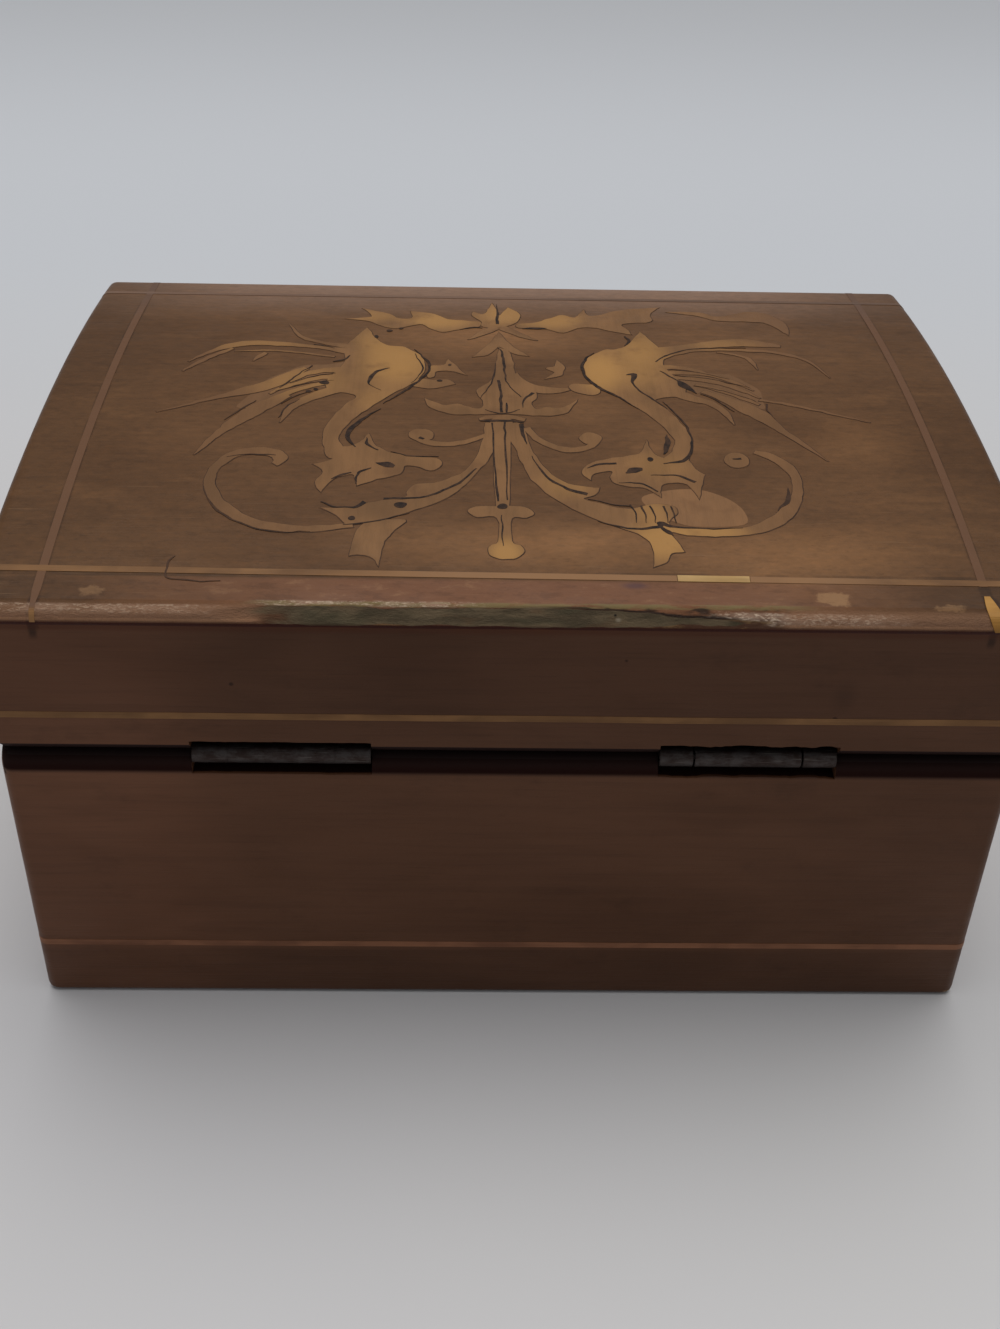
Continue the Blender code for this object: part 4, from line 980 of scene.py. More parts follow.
def make_wall_lines():
    """The light lines that run round the lid and round the body, over the rounded rear corners."""
    for body, half_x, front_y, nodes in (
            ("lid", HALF_LID, HALF_DEPTH - 0.5, [f"lid_string_{side}" for side in STRINGS]),
            ("body", HALF_BODY, FRONT_WALL_HIGH.y,
             [f"body_string_{side}" for side in ("rear", "left", "right")])):
        low, high = corners(nodes[0])
        points, ways = ring_path(half_x, (low.z + high.z) / 2, front_y)
        for point in points:
            point.z += 0.07 * noise.noise(Vector((point.x / 14, point.y / 14, low.z)))
        make_object(f"{body}_line", wall_bar(points, ways), "string", body, nodes)
    low, high = STRINGS["front"]
    points = [Vector((x, HALF_DEPTH, (low.z + high.z) / 2)) for x in (0.4 - HALF_LID, HALF_LID - 0.4)]
    make_object("lid_line_front", wall_bar(points, [Vector((0, -1, 0))] * 2), "string", "lid")


# ---------------------------------------------------------------- marquetry

TIP = True
MIRROR_X = -0.6


def smooth(points, closed=True, steps=4):
    """A Catmull-Rom curve. A point written (x, y, TIP) is a sharp corner."""
    held = []
    for point in points:
        held += [point[:2]] * (2 if len(point) > 2 and point[2] is TIP else 1)
    if closed:
        held = [held[-1], *held, held[0], held[1]]
    else:
        held = [held[0], *held, held[-1]]
    curve = []
    for a, b, c, d in zip(held, held[1:], held[2:], held[3:]):
        # A sharp corner stands twice in the list.
        if b == c:
            continue
        for i in range(steps):
            t = i / steps
            curve.append(tuple(
                0.5 * (2 * q + (r - p) * t + (2 * p - 5 * q + 4 * r - s) * t ** 2
                       + (3 * q - p - 3 * r + s) * t ** 3)
                for p, q, r, s in zip(a, b, c, d)))
    return curve if closed else curve + [held[-1]]


def ribbon(path, grow=0.0, steps=5):
    """The outline of a band along (x, y, half width) points."""
    widths = smooth([(i, w) for i, (x, y, w) in enumerate(path)], False, steps)
    curve = smooth([(x, y) for x, y, w in path], False, steps)
    left, right = [], []
    for i, (x, y) in enumerate(curve):
        before, after = curve[max(i - 1, 0)], curve[min(i + 1, len(curve) - 1)]
        along = (Vector(after) - Vector(before)).normalized()
        half = max(widths[i][1], 0.02) + grow
        left.append((x - along.y * half, y + along.x * half))
        right.append((x + along.y * half, y - along.x * half))
    return left + list(reversed(right))


def oval(x, y, wide, tall, count=20):
    turns = [2 * math.pi * i / count for i in range(count)]
    return [(x + wide * math.cos(t), y + tall * math.sin(t)) for t in turns]


def mirrored(outline):
    return [(2 * MIRROR_X - p[0], *p[1:]) for p in outline]


def signed_area(outline):
    return sum(a[0] * b[1] - b[0] * a[1] for a, b in zip(outline, outline[1:] + outline[:1])) / 2


def grown(outline, amount):
    """The outline moved outwards, with its sharp tips cut short."""
    turn = 1 if signed_area(outline) > 0 else -1
    moved = []
    for before, here, after in zip(outline[-1:] + outline[:-1], outline, outline[1:] + outline[:1]):
        into = (Vector(here) - Vector(before)).normalized()
        out = (Vector(after) - Vector(here)).normalized()
        normal = Vector((into.y + out.y, -into.x - out.x)) * turn
        length = amount / max(normal.length / 2, 0.5)
        if normal.length > 1e-6:
            normal.normalize()
        moved.append((here[0] + normal.x * length, here[1] + normal.y * length))
    return moved


def covered(x, y, outlines):
    """True if the point is inside any of the outlines."""
    for outline, (low_x, low_y, high_x, high_y) in outlines:
        if not (low_x <= x <= high_x and low_y <= y <= high_y):
            continue
        turns = 0
        for a, b in zip(outline, outline[1:] + outline[:1]):
            side = (b[0] - a[0]) * (y - a[1]) - (x - a[0]) * (b[1] - a[1])
            if a[1] <= y < b[1] and side > 0:
                turns += 1
            elif b[1] <= y < a[1] and side < 0:
                turns -= 1
        if turns:
            return True
    return False


def sheet(name, outlines, material, lift, deep=0.4, spacing=3.0, replaced=()):
    """A thin closed plate that follows the dome and fills all the outlines, which may overlap."""
    boxed = [(o, (min(p[0] for p in o), min(p[1] for p in o), max(p[0] for p in o), max(p[1] for p in o)))
             for o in outlines]
    points, faces = [], []
    for outline in outlines:
        first = len(points)
        points += [Vector(p) for p in outline]
        order = list(range(first, len(points)))
        faces.append(order if signed_area(outline) > 0 else order[::-1])
    low_x, low_y = (min(box[i] for o, box in boxed) for i in (0, 1))
    high_x, high_y = (max(box[i] for o, box in boxed) for i in (2, 3))
    for i in range(int((high_x - low_x) / spacing) + 1):
        for j in range(int((high_y - low_y) / spacing) + 1):
            x, y = low_x + (i + 0.31) * spacing, low_y + (j + 0.17) * spacing
            if covered(x, y, boxed):
                points.append(Vector((x, y)))
    flat, _edges, triangles, *_rest = delaunay_2d_cdt(points, [], faces, 1, 1e-4)
    kept = []
    for triangle in triangles:
        x = sum(flat[i].x for i in triangle) / 3
        y = sum(flat[i].y for i in triangle) / 3
        if covered(x, y, boxed):
            kept.append(triangle)
    shape = bmesh.new()
    top, bottom, uses = {}, {}, {}
    for triangle in kept:
        for i in triangle:
            if i not in top:
                x, y = flat[i]
                top[i] = shape.verts.new((x, y, dome_z(y) + lift))
                bottom[i] = shape.verts.new((x, y, dome_z(y) - deep))
        shape.faces.new([top[i] for i in triangle])
        shape.faces.new([bottom[i] for i in reversed(triangle)])
        for a, b in zip(triangle, triangle[1:] + triangle[:1]):
            uses[(a, b)] = True
    for a, b in uses:
        if (b, a) not in uses:
            shape.faces.new((top[b], top[a], bottom[a], bottom[b]))
    return make_object(name, shape, material, "lid", replaced)


BODY_AND_NECK = [
    (23.2, 29.0, TIP), (22.0, 25.5), (20.4, 22.2), (18.6, 20.6), (16.6, 20.4), (14.9, 18.6), (13.3, 16.2),
    (12.7, 13.0), (13.0, 9.2), (14.5, 5.8), (17.4, 2.4), (19.4, -0.4), (21.6, -3.6), (24.0, -7.8),
    (25.2, -11.8), (24.5, -15.0), (22.6, -18.0), (26.4, -18.2), (27.5, -14.2), (27.8, -10.6), (27.0, -7.0),
    (25.8, -3.8), (24.4, -0.8), (23.4, 1.0), (25.4, 2.2), (27.8, 2.6), (28.6, 6.0), (27.2, 10.0),
    (26.0, 14.0), (26.4, 17.5), (26.2, 20.6), (24.9, 24.4),
]
# Feathers are bands given by (x, y, half width) points, over a darker ground.
FEATHERS_RIGHT = [
    [(25.0, 19.6, 2.0), (29.0, 21.0, 1.3), (33.0, 22.6, 1.3), (37.0, 23.8, 1.6), (40.6, 24.4, 1.7),
     (44.0, 23.7, 1.3), (47.0, 22.9, 0.4)],
    [(25.2, 15.6, 0.2), (27.6, 18.2, 0.35), (31.0, 20.1, 0.4), (35.0, 20.9, 0.4), (40.0, 20.9, 0.45),
     (45.0, 20.3, 0.5), (48.6, 18.6, 0.45), (51.2, 15.8, 0.3), (53.1, 10.2, 0.06)],
    [(35.6, 19.8, 0.15), (39.0, 18.7, 0.4), (40.9, 16.8, 0.45), (41.7, 12.9, 0.06)],
    [(25.4, 13.4, 0.8), (28.6, 13.2, 0.7), (31.4, 12.1, 0.5), (33.6, 10.8, 0.1)],
    [(26.0, 11.2, 0.6), (30.0, 11.2, 0.65), (34.0, 10.2, 0.6), (37.2, 7.8, 0.45), (39.8, 5.0, 0.1)],
    [(26.8, 9.2, 0.5), (30.0, 9.0, 0.6), (34.2, 7.7, 0.65), (37.6, 5.2, 0.5), (40.4, 2.2, 0.1)],
    [(30.4, 6.8, 0.4), (33.8, 5.2, 0.6), (37.0, 2.8, 0.6), (40.0, 0.0, 0.3)],
    [(26.0, 4.4, 1.4), (29.2, 2.0, 1.0), (32.2, 0.2, 0.8), (34.2, -2.8, 0.55), (35.2, -6.7, 0.06)],
    [(31.4, 4.4, 0.5), (34.4, 2.0, 0.9), (37.4, -0.9, 1.5), (40.0, -4.0, 1.4), (42.0, -7.6, 0.8),
     (44.8, -12.0, 0.45), (48.1, -17.2, 0.06)],
    [(40.2, 1.5, 0.3), (44.5, 0.3, 0.35), (49.0, -1.6, 0.3), (53.0, -3.6, 0.22), (56.8, -5.3, 0.05)],
]
FEATHERS_LEFT = [
    [(-25.4, 19.8, 1.2), (-30.0, 21.1, 0.6), (-33.0, 22.4, 0.5), (-35.2, 24.0, 0.45), (-36.8, 27.0, 0.28),
     (-38.1, 30.2, 0.06)],
    [(-25.4, 17.6, 1.4), (-31.0, 19.4, 0.7), (-35.5, 20.3, 0.7), (-40.0, 21.0, 0.9), (-44.0, 21.0, 1.0),
     (-47.6, 19.4, 0.85), (-49.4, 17.6, 0.5), (-51.4, 15.4, 0.35), (-53.0, 13.0, 0.1)],
    [(-46.4, 18.6, 0.4), (-48.8, 16.0, 0.5), (-51.0, 13.2, 0.5), (-53.5, 9.4, 0.15)],
    [(-45.8, 17.4, 0.08), (-42.0, 17.9, 0.2), (-38.0, 17.8, 0.22), (-34.0, 17.0, 0.25), (-29.0, 15.6, 0.3)],
    [(-40.6, 17.0, 0.4), (-41.6, 15.4, 0.5), (-42.4, 13.5, 0.06)],
    [(-26.4, 10.8, 1.2), (-30.5, 10.2, 0.8), (-33.4, 8.6, 0.6), (-35.6, 5.8, 0.15)],
    [(-27.4, 8.2, 0.7), (-31.4, 7.2, 0.65), (-35.2, 4.9, 0.6), (-38.4, 1.6, 0.2)],
    [(-29.6, 5.6, 0.5), (-33.6, 3.4, 0.6), (-37.4, 0.2, 0.6), (-41.6, -3.6, 0.2)],
    [(-33.4, 11.0, 0.6), (-35.6, 8.4, 1.2), (-38.4, 5.0, 1.4), (-42.2, 2.5, 1.3), (-46.0, 0.4, 0.6),
     (-50.4, -2.1, 0.3), (-55.4, -5.1, 0.06)],
    [(-25.6, 4.8, 1.4), (-29.6, 2.2, 1.2), (-33.0, -0.8, 0.9), (-35.0, -4.0, 0.6), (-35.8, -8.0, 0.06)],
    [(-35.4, 1.2, 0.7), (-38.2, -1.8, 1.2), (-41.0, -5.1, 1.4), (-43.5, -8.7, 1.0), (-45.3, -12.0, 0.6),
     (-46.8, -15.0, 0.4), (-47.8, -17.7, 0.06)],
]
GROUND_RIGHT = [
    (25.0, 14.0), (30.0, 12.8), (33.5, 11.2), (36.6, 11.0, TIP), (38.8, 8.2), (40.8, 5.0), (40.8, 1.0),
    (40.6, -1.4), (37.5, 0.0), (34.5, 1.6), (31.0, 3.6), (28.0, 4.8), (25.6, 7.0),
]
GROUND_LEFT = [
    (-26.0, 13.6), (-30.0, 12.6), (-34.0, 12.0), (-36.6, 9.4), (-39.2, 6.8), (-40.4, 4.0), (-41.6, 1.0),
    (-43.2, -3.2), (-39.8, -3.0), (-37.2, -1.2), (-34.6, 1.6), (-31.6, 3.8), (-28.0, 4.4), (-26.0, 7.0),
]
CLAWS_RIGHT = [
    [(14.6, 3.4), (13.2, 2.6), (10.6, 3.6), (9.7, 5.2), (10.6, 6.6), (12.8, 6.2), (14.4, 6.0)],
    [(5.8, 8.2, TIP), (7.4, 10.6), (6.3, 12.2), (7.7, 13.2), (8.0, 15.8, TIP), (9.3, 13.0), (9.0, 10.2),
     (8.2, 9.2)],
]
CLAWS_LEFT = [
    [(-15.4, 4.8), (-12.4, 4.1), (-9.0, 5.8, TIP), (-9.8, 7.4), (-12.4, 7.2), (-14.8, 7.4)],
    [(-13.4, 8.2), (-13.0, 12.4), (-10.8, 12.9), (-10.1, 15.6, TIP), (-8.6, 12.4), (-7.0, 9.2, TIP),
     (-9.6, 10.7), (-12.0, 10.4), (-12.3, 8.4)],
]
HEAD_LEFT = [
    (-27.2, -15.0), (-24.2, -14.6), (-21.8, -10.9, TIP), (-20.9, -13.8), (-18.8, -16.2), (-16.6, -17.1),
    (-14.2, -17.5), (-11.3, -17.9), (-10.6, -19.3), (-11.7, -21.2), (-14.2, -20.3), (-16.0, -20.1),
    (-16.4, -22.1), (-17.9, -22.9), (-20.2, -23.8), (-22.9, -25.5, TIP), (-23.6, -22.7), (-25.1, -22.8),
    (-26.7, -24.0), (-28.2, -27.3, TIP), (-29.1, -24.6), (-28.3, -22.1), (-29.8, -19.9, TIP),
    (-27.0, -18.3),
]
HEAD_RIGHT = [
    (23.8, -17.3), (21.7, -15.6), (20.9, -11.6, TIP), (19.9, -15.2), (17.6, -16.6), (15.4, -17.1),
    (12.6, -18.2), (10.7, -20.0), (10.5, -21.6), (11.7, -23.2, TIP), (12.4, -21.4), (15.0, -20.8),
    (14.7, -22.4), (15.0, -23.9), (17.2, -24.9), (19.8, -25.3), (21.7, -27.3, TIP), (21.9, -24.7),
    (23.6, -23.7), (26.0, -24.1), (27.4, -27.8, TIP), (28.0, -24.8), (28.9, -21.4, TIP), (27.6, -19.8),
    (26.6, -17.2),
]
TORCH = [
    [(-2.5, 43.2, TIP), (-1.7, 39.0), (-1.2, 36.0), (0.3, 40.5, TIP), (2.3, 37.4), (2.3, 34.6), (1.5, 32.0),
     (0.0, 30.6), (-1.0, 29.6), (-4.2, 30.0), (-4.4, 32.5), (-5.8, 35.0), (-6.1, 37.8, TIP), (-4.1, 36.6),
     (-3.3, 39.0)],
    [(-1.5, 27.6, TIP), (-3.0, 22.6), (-5.0, 18.4), (-5.9, 16.4, TIP), (-3.6, 17.4), (-2.0, 19.9),
     (-1.3, 20.8), (-0.3, 19.4), (1.4, 17.6), (3.5, 17.0, TIP), (2.2, 19.0), (0.2, 22.4)],
    [(-1.5, 20.6, TIP), (-2.1, 14.0), (-2.7, 8.0), (-4.2, 5.6), (-5.3, 4.0), (-5.0, 2.0), (-4.2, -0.2),
     (-4.8, -2.6), (-6.8, -1.8), (-8.4, -1.2), (-10.8, -1.4), (-13.6, 0.8, TIP), (-12.8, -2.2),
     (-11.0, -3.8), (-8.4, -4.6), (-5.4, -4.5), (-1.3, -4.2), (2.6, -4.5), (6.4, -4.7), (9.0, -3.4),
     (10.9, 1.0, TIP), (8.2, -1.9), (5.8, -1.7), (4.2, -2.6), (3.4, -1.0), (4.2, 1.2), (4.2, 3.6),
     (3.0, 5.6), (1.2, 8.0), (0.9, 14.0), (0.2, 18.6)],
    [(-3.1, -6.4), (0.2, -6.4), (-0.2, -16.0), (-0.6, -30.6), (-2.4, -30.6), (-2.8, -16.0)],
    [(-6.6, -31.6), (-5.4, -30.3), (-1.6, -30.1), (1.8, -30.4), (2.9, -31.7), (1.8, -32.9), (-0.3, -33.1),
     (-0.3, -38.4), (1.0, -39.2), (1.3, -40.6), (0.2, -42.0), (-1.3, -42.3), (-2.9, -41.9), (-3.7, -40.6),
     (-3.2, -39.3), (-2.3, -38.5), (-2.3, -33.1), (-5.2, -32.8)],
]
TORCH_BANDS = [
    [(-2.0, 29.8, 1.0), (-4.4, 26.8, 0.8), (-6.7, 24.0, 0.06)],
    [(-0.8, 29.8, 1.0), (1.8, 26.8, 0.8), (5.0, 23.9, 0.06)],
    [(1.0, 10.0, 0.5), (1.8, 7.2, 0.9), (3.8, 4.8, 1.2), (7.0, 3.9, 1.1), (9.6, 4.6, 0.4)],
]
RING = [(-4.9, -6.0, 0.5), (-3.2, -5.4, 0.6), (-1.3, -5.2, 0.65), (0.6, -5.4, 0.6), (2.3, -6.0, 0.5)]
GARLANDS = [
    [(-5.0, 30.0), (-4.6, 32.4), (-7.0, 33.0), (-10.2, 33.6), (-12.8, 36.2), (-17.0, 37.8, TIP),
     (-16.8, 34.0), (-19.0, 33.6), (-20.8, 36.0), (-25.8, 38.8, TIP), (-23.8, 35.0), (-25.0, 33.9),
     (-28.6, 33.2, TIP), (-24.6, 32.2), (-22.6, 30.4), (-20.0, 28.6), (-17.0, 30.0), (-14.8, 30.8),
     (-13.4, 28.8), (-11.2, 27.3), (-8.4, 28.6)],
    [(2.0, 29.8), (2.0, 31.6), (5.2, 32.6), (7.2, 34.4), (10.0, 36.8), (12.2, 35.4), (14.0, 40.0, TIP),
     (14.8, 36.6), (17.0, 37.2), (20.8, 40.0), (27.8, 41.6, TIP), (25.8, 37.6), (25.7, 34.0), (20.4, 32.4),
     (21.2, 29.8), (21.6, 27.4, TIP), (18.0, 28.8), (15.6, 30.4), (12.4, 30.0), (9.8, 27.6), (6.4, 29.6)],
    [(29.0, 39.2), (35.2, 39.0), (37.2, 37.2), (40.0, 37.8), (44.0, 40.0), (47.4, 38.6), (49.8, 33.6),
     (49.3, 28.0, TIP), (47.8, 31.4), (45.8, 34.2), (42.0, 34.6), (37.6, 35.0), (33.6, 37.6)],
]
TAIL_LEAVES = [
    [(-4.0, -7.4), (-4.2, -11.0), (-5.0, -16.0), (-7.0, -21.0), (-9.0, -22.8), (-11.6, -24.5),
     (-14.4, -24.9), (-15.4, -26.6), (-15.8, -28.2), (-18.9, -28.9), (-21.4, -30.0), (-23.0, -31.0),
     (-28.0, -31.0, TIP), (-25.4, -32.8), (-23.4, -35.0), (-17.9, -33.4), (-14.3, -31.4), (-9.6, -28.2),
     (-7.1, -24.8), (-5.5, -21.8), (-3.7, -18.4), (-2.7, -15.0), (-2.3, -10.7), (-2.6, -7.4)],
    [(0.2, -7.4), (-0.4, -10.7), (0.5, -14.3), (1.6, -19.3), (3.4, -24.3), (6.6, -28.6), (10.5, -32.1),
     (14.1, -34.4), (18.0, -36.2), (22.8, -36.0), (22.4, -33.6), (23.9, -31.2), (23.0, -29.4),
     (19.8, -29.3), (16.9, -30.5), (13.0, -29.4), (10.4, -28.1), (12.0, -27.2), (12.8, -25.2, TIP),
     (9.1, -24.6), (5.9, -21.8), (3.7, -17.1), (2.6, -12.5), (1.8, -7.6)],
    [(-15.5, -33.7), (-17.4, -36.8), (-18.5, -39.4), (-18.9, -44.1, TIP), (-20.2, -42.0),
     (-23.1, -41.9, TIP), (-22.7, -38.0), (-21.3, -34.6)],
    [(16.0, -35.0), (18.4, -37.0), (19.6, -39.6), (19.4, -43.8, TIP), (21.2, -42.6), (22.2, -40.8),
     (24.0, -40.3, TIP), (22.8, -37.2), (21.0, -35.2)],
]
TAIL_BANDS = [
    [(-23.0, -35.1, 0.5), (-28.4, -36.0, 0.65), (-33.0, -35.9, 0.85), (-37.6, -34.6, 0.9),
     (-41.9, -31.0, 0.95), (-44.2, -26.6, 0.9), (-44.4, -21.6, 0.75), (-41.7, -17.3, 0.85),
     (-38.3, -16.3, 1.0), (-35.4, -17.3, 1.1), (-34.9, -18.9, 1.0), (-35.6, -20.0, 0.5)],
    [(22.6, -35.2, 0.75), (26.6, -35.8, 0.8), (31.8, -35.7, 0.8), (36.0, -34.4, 1.05), (39.5, -31.3, 1.1),
     (41.7, -27.5, 0.9), (42.5, -23.0, 0.75), (41.8, -19.2, 0.85), (39.6, -16.2, 0.85), (37.2, -14.8, 0.5)],
    [(-3.2, -10.0, 0.4), (-5.6, -12.2, 0.5), (-8.8, -13.6, 0.6), (-12.4, -13.5, 0.7), (-14.8, -11.8, 0.5)],
    [(2.4, -8.6, 0.6), (4.6, -12.6, 0.6), (8.4, -14.9, 0.7), (11.8, -14.1, 0.7), (13.2, -11.8, 0.6)],
]
SCROLL_EYES = [(-13.8, -11.1, 1.9, 1.8), (12.2, -11.4, 1.7, 1.7), (34.2, -17.3, 1.9, 2.1)]
STONE = [(18.9, -27.6), (21.6, -26.1), (25.0, -25.3), (28.6, -25.7), (32.0, -28.0), (33.7, -31.0),
         (33.2, -33.9), (27.0, -34.5), (23.6, -33.6), (20.0, -30.4)]

INK_LINES = [
    [(-15.9, 19.2, 0.05), (-14.0, 15.5, 0.2), (-13.1, 12.6, 0.22), (-13.5, 9.4, 0.2), (-15.2, 5.8, 0.24),
     (-17.2, 2.6, 0.2), (-20.2, -1.4, 0.05)],
    [(-15.7, 17.4, 0.04), (-14.8, 14.4, 0.12), (-14.2, 11.8, 0.14), (-14.7, 8.8, 0.1), (-15.9, 6.0, 0.04)],
    [(-19.6, 11.5, 0.06), (-21.6, 10.3, 0.26), (-22.7, 7.6, 0.3), (-22.7, 5.0, 0.1), (-20.8, 3.2, 0.04)],
    [(-20.4, -3.0, 0.06), (-22.9, -6.3, 0.25), (-24.7, -9.3, 0.42), (-25.1, -12.2, 0.38),
     (-23.8, -15.0, 0.1)],
    [(-5.4, -20.6, 0.08), (-7.9, -24.4, 0.2), (-10.7, -26.8, 0.2), (-14.3, -28.4, 0.16),
     (-18.8, -28.6, 0.26)],
    [(-28.0, -29.6, 0.1), (-25.6, -30.8, 0.16), (-23.0, -30.9, 0.2), (-21.6, -29.6, 0.5)],
    [(-24.4, -35.0, 0.06), (-20.4, -34.4, 0.16), (-15.0, -32.2, 0.06)],
    [(-45.2, -26.0, 0.03), (-43.4, -31.2, 0.1), (-38.4, -35.4, 0.12), (-33.6, -36.9, 0.08),
     (-29.0, -36.6, 0.03)],
    [(-42.8, -18.4, 0.04), (-40.6, -17.4, 0.1), (-37.8, -17.4, 0.14), (-35.6, -17.6, 0.06)],
    [(-22.2, -12.2, 0.06), (-21.9, -14.2, 0.3), (-20.2, -15.8, 0.08)],
    [(-26.8, -23.8, 0.08), (-25.4, -22.6, 0.24), (-24.0, -22.1, 0.1)],
    [(-23.1, -25.0, 0.08), (-22.9, -22.0, 0.22), (-21.0, -20.8, 0.08)],
    [(-18.4, -16.2, 0.04), (-15.8, -17.2, 0.14), (-11.0, -17.4, 0.05)],
    [(-20.6, -19.2, 0.05), (-18.9, -19.8, 0.75), (-17.7, -20.2, 0.3)],
    [(-1.6, 42.0, 0.04), (-1.6, 36.0, 0.22), (-1.7, 31.4, 0.3)],
    [(-1.6, 20.6, 0.05), (-0.9, 17.0, 0.2), (-0.7, 11.4, 0.2), (-0.2, 6.0, 0.1), (1.8, 1.4, 0.08)],
    [(-4.6, 1.0, 0.05), (-2.6, 7.6, 0.14), (-2.1, 14.0, 0.05)],
    [(-1.6, 7.4, 0.2), (-1.4, 1.8, 0.24), (-1.3, -3.8, 0.2)],
    [(-0.6, -0.6, 0.06), (-0.5, -2.0, 0.16), (-0.6, -3.8, 0.12)],
    [(2.0, -2.0, 0.06), (2.3, 0.4, 0.2), (3.8, 3.0, 0.28)],
    [(-4.6, -6.8, 0.1), (-1.4, -6.4, 0.32), (2.0, -7.0, 0.1)],
    [(-2.9, -7.0, 0.12), (-2.7, -17.0, 0.14), (-2.2, -29.0, 0.16)],
    [(-0.9, -6.6, 0.16), (-0.9, -14.0, 0.16), (-0.8, -28.6, 0.1)],
    [(1.7, -7.4, 0.3), (1.8, -10.4, 0.25), (2.4, -13.6, 0.05)],
    [(-1.7, -32.4, 0.06), (-1.6, -36.0, 0.12), (-1.5, -39.4, 0.05)],
    [(-4.0, -2.8, 0.05), (-1.3, -4.2, 0.16), (1.6, -2.8, 0.05)],
    [(-4.4, 29.4, 0.08), (-5.8, 29.6, 0.2), (-8.2, 28.6, 0.05)],
    [(2.6, 29.4, 0.1), (5.2, 29.7, 0.45), (7.0, 29.6, 0.08)],
    [(14.6, 18.8, 0.06), (13.0, 16.2, 0.2), (12.3, 12.8, 0.26), (12.7, 9.2, 0.22), (14.3, 5.4, 0.26),
     (17.6, 1.8, 0.18), (20.4, -2.0, 0.05)],
    [(19.4, 9.9, 0.1), (20.8, 10.3, 0.5), (20.3, 7.6, 0.22), (21.0, 4.4, 0.16), (23.0, 1.4, 0.16),
     (25.0, -2.0, 0.08)],
    [(24.6, 0.4, 0.05), (26.3, -3.6, 0.16), (27.7, -8.0, 0.14), (27.9, -12.6, 0.22), (26.6, -17.2, 0.3),
     (23.0, -18.6, 0.1)],
    [(24.2, -10.0, 0.05), (24.0, -13.0, 0.5), (23.2, -15.8, 0.1)],
    [(24.8, 15.4, 0.1), (27.0, 18.2, 0.18), (30.6, 20.7, 0.14), (35.0, 21.6, 0.1), (41.0, 21.8, 0.04)],
    [(20.4, 26.4, 0.1), (21.0, 24.2, 0.3), (20.0, 22.0, 0.1)],
    [(25.2, 11.8, 0.08), (26.6, 9.6, 0.16), (27.8, 8.0, 0.1)],
    [(27.6, 8.2, 0.1), (28.6, 6.2, 0.75), (30.4, 3.6, 0.08)],
    [(11.2, -20.2, 0.06), (13.0, -19.0, 0.2), (15.8, -18.6, 0.24)],
    [(17.0, -21.2, 0.1), (18.3, -20.4, 0.75), (19.6, -20.1, 0.3)],
    [(15.8, -23.9, 0.05), (18.8, -23.9, 0.16), (21.4, -26.0, 0.1)],
    [(20.8, -21.8, 0.05), (24.4, -21.7, 0.16), (27.1, -23.5, 0.28)],
    [(3.0, -17.0, 0.05), (5.0, -22.4, 0.2), (8.0, -25.6, 0.24), (11.0, -27.0, 0.3)],
    [(12.0, -33.4, 0.05), (16.4, -35.2, 0.2), (20.6, -34.8, 0.3), (21.2, -33.8, 0.45), (23.0, -34.6, 0.2),
     (27.6, -34.9, 0.12), (32.8, -34.8, 0.05)],
    [(21.0, -34.6, 0.2), (22.2, -36.0, 0.4), (22.8, -36.8, 0.05)],
    [(11.0, -28.2, 0.05), (14.0, -29.2, 0.1), (17.2, -30.0, 0.08)],
    [(40.8, -24.6, 0.05), (40.4, -27.8, 0.4), (38.6, -30.4, 0.05)],
    [(33.6, -16.9, 0.1), (34.9, -16.8, 0.22)],
    [(-14.2, -11.8, 0.3), (-13.4, -12.2, 0.2)],
    [(-32.4, 12.0, 0.14), (-34.0, 9.6, 0.1), (-35.4, 6.8, 0.14), (-37.0, 3.4, 0.06)],
    [(-29.0, 13.6, 0.16), (-27.4, 14.6, 0.22), (-26.6, 16.2, 0.08)],
    [(-33.0, 20.8, 0.12), (-31.0, 20.2, 0.16), (-29.4, 19.4, 0.06)],
    [(-40.4, -1.0, 0.1), (-42.6, -4.2, 0.16), (-44.6, -7.2, 0.06)],
    [(41.2, 0.2, 0.16), (40.9, -1.8, 0.12), (41.8, -4.6, 0.04)],
    [(-33.4, -0.2, 0.05), (-35.4, -3.0, 0.14), (-36.2, -6.4, 0.05)],
    [(31.0, 3.4, 0.05), (33.6, 0.8, 0.14), (35.6, -2.6, 0.05)],
    [(-47.2, -42.4, 0.05), (-48.0, -43.6, 0.14), (-47.9, -46.2, 0.12), (-47.0, -47.2, 0.14),
     (-43.0, -47.7, 0.1), (-40.5, -47.6, 0.04)],
]
HATCH_LEFT = [(-28.4, 9.2, -35.6, 5.2), (-28.6, 6.6, -37.6, 2.2), (-31.6, 2.6, -36.4, -2.0)]
HATCH_RIGHT = [(26.6, 12.3, 36.4, 9.0), (27.4, 10.2, 39.4, 6.0), (30.2, 6.4, 39.6, 1.2)]
STRIPES = [17.2, 18.6, 20.0, 21.8, 22.9]
BLOTS = [
    (-30.0, 5.6, 0.85, 0.6), (-32.4, 2.4, 0.45, 0.4), (-31.2, 3.2, 0.4, 0.4), (-23.2, -33.5, 0.55, 0.5),
    (-1.6, -30.3, 0.7, 0.6), (21.0, -17.5, 0.5, 0.6), (-20.4, 27.4, 0.5, 0.5), (-18.4, 28.8, 0.4, 0.4),
    (-22.5, 24.6, 0.35, 0.6), (-11.4, 6.9, 0.5, 0.35), (-9.8, 12.9, 0.3, 0.4), (-16.3, -30.2, 0.9, 0.8),
]


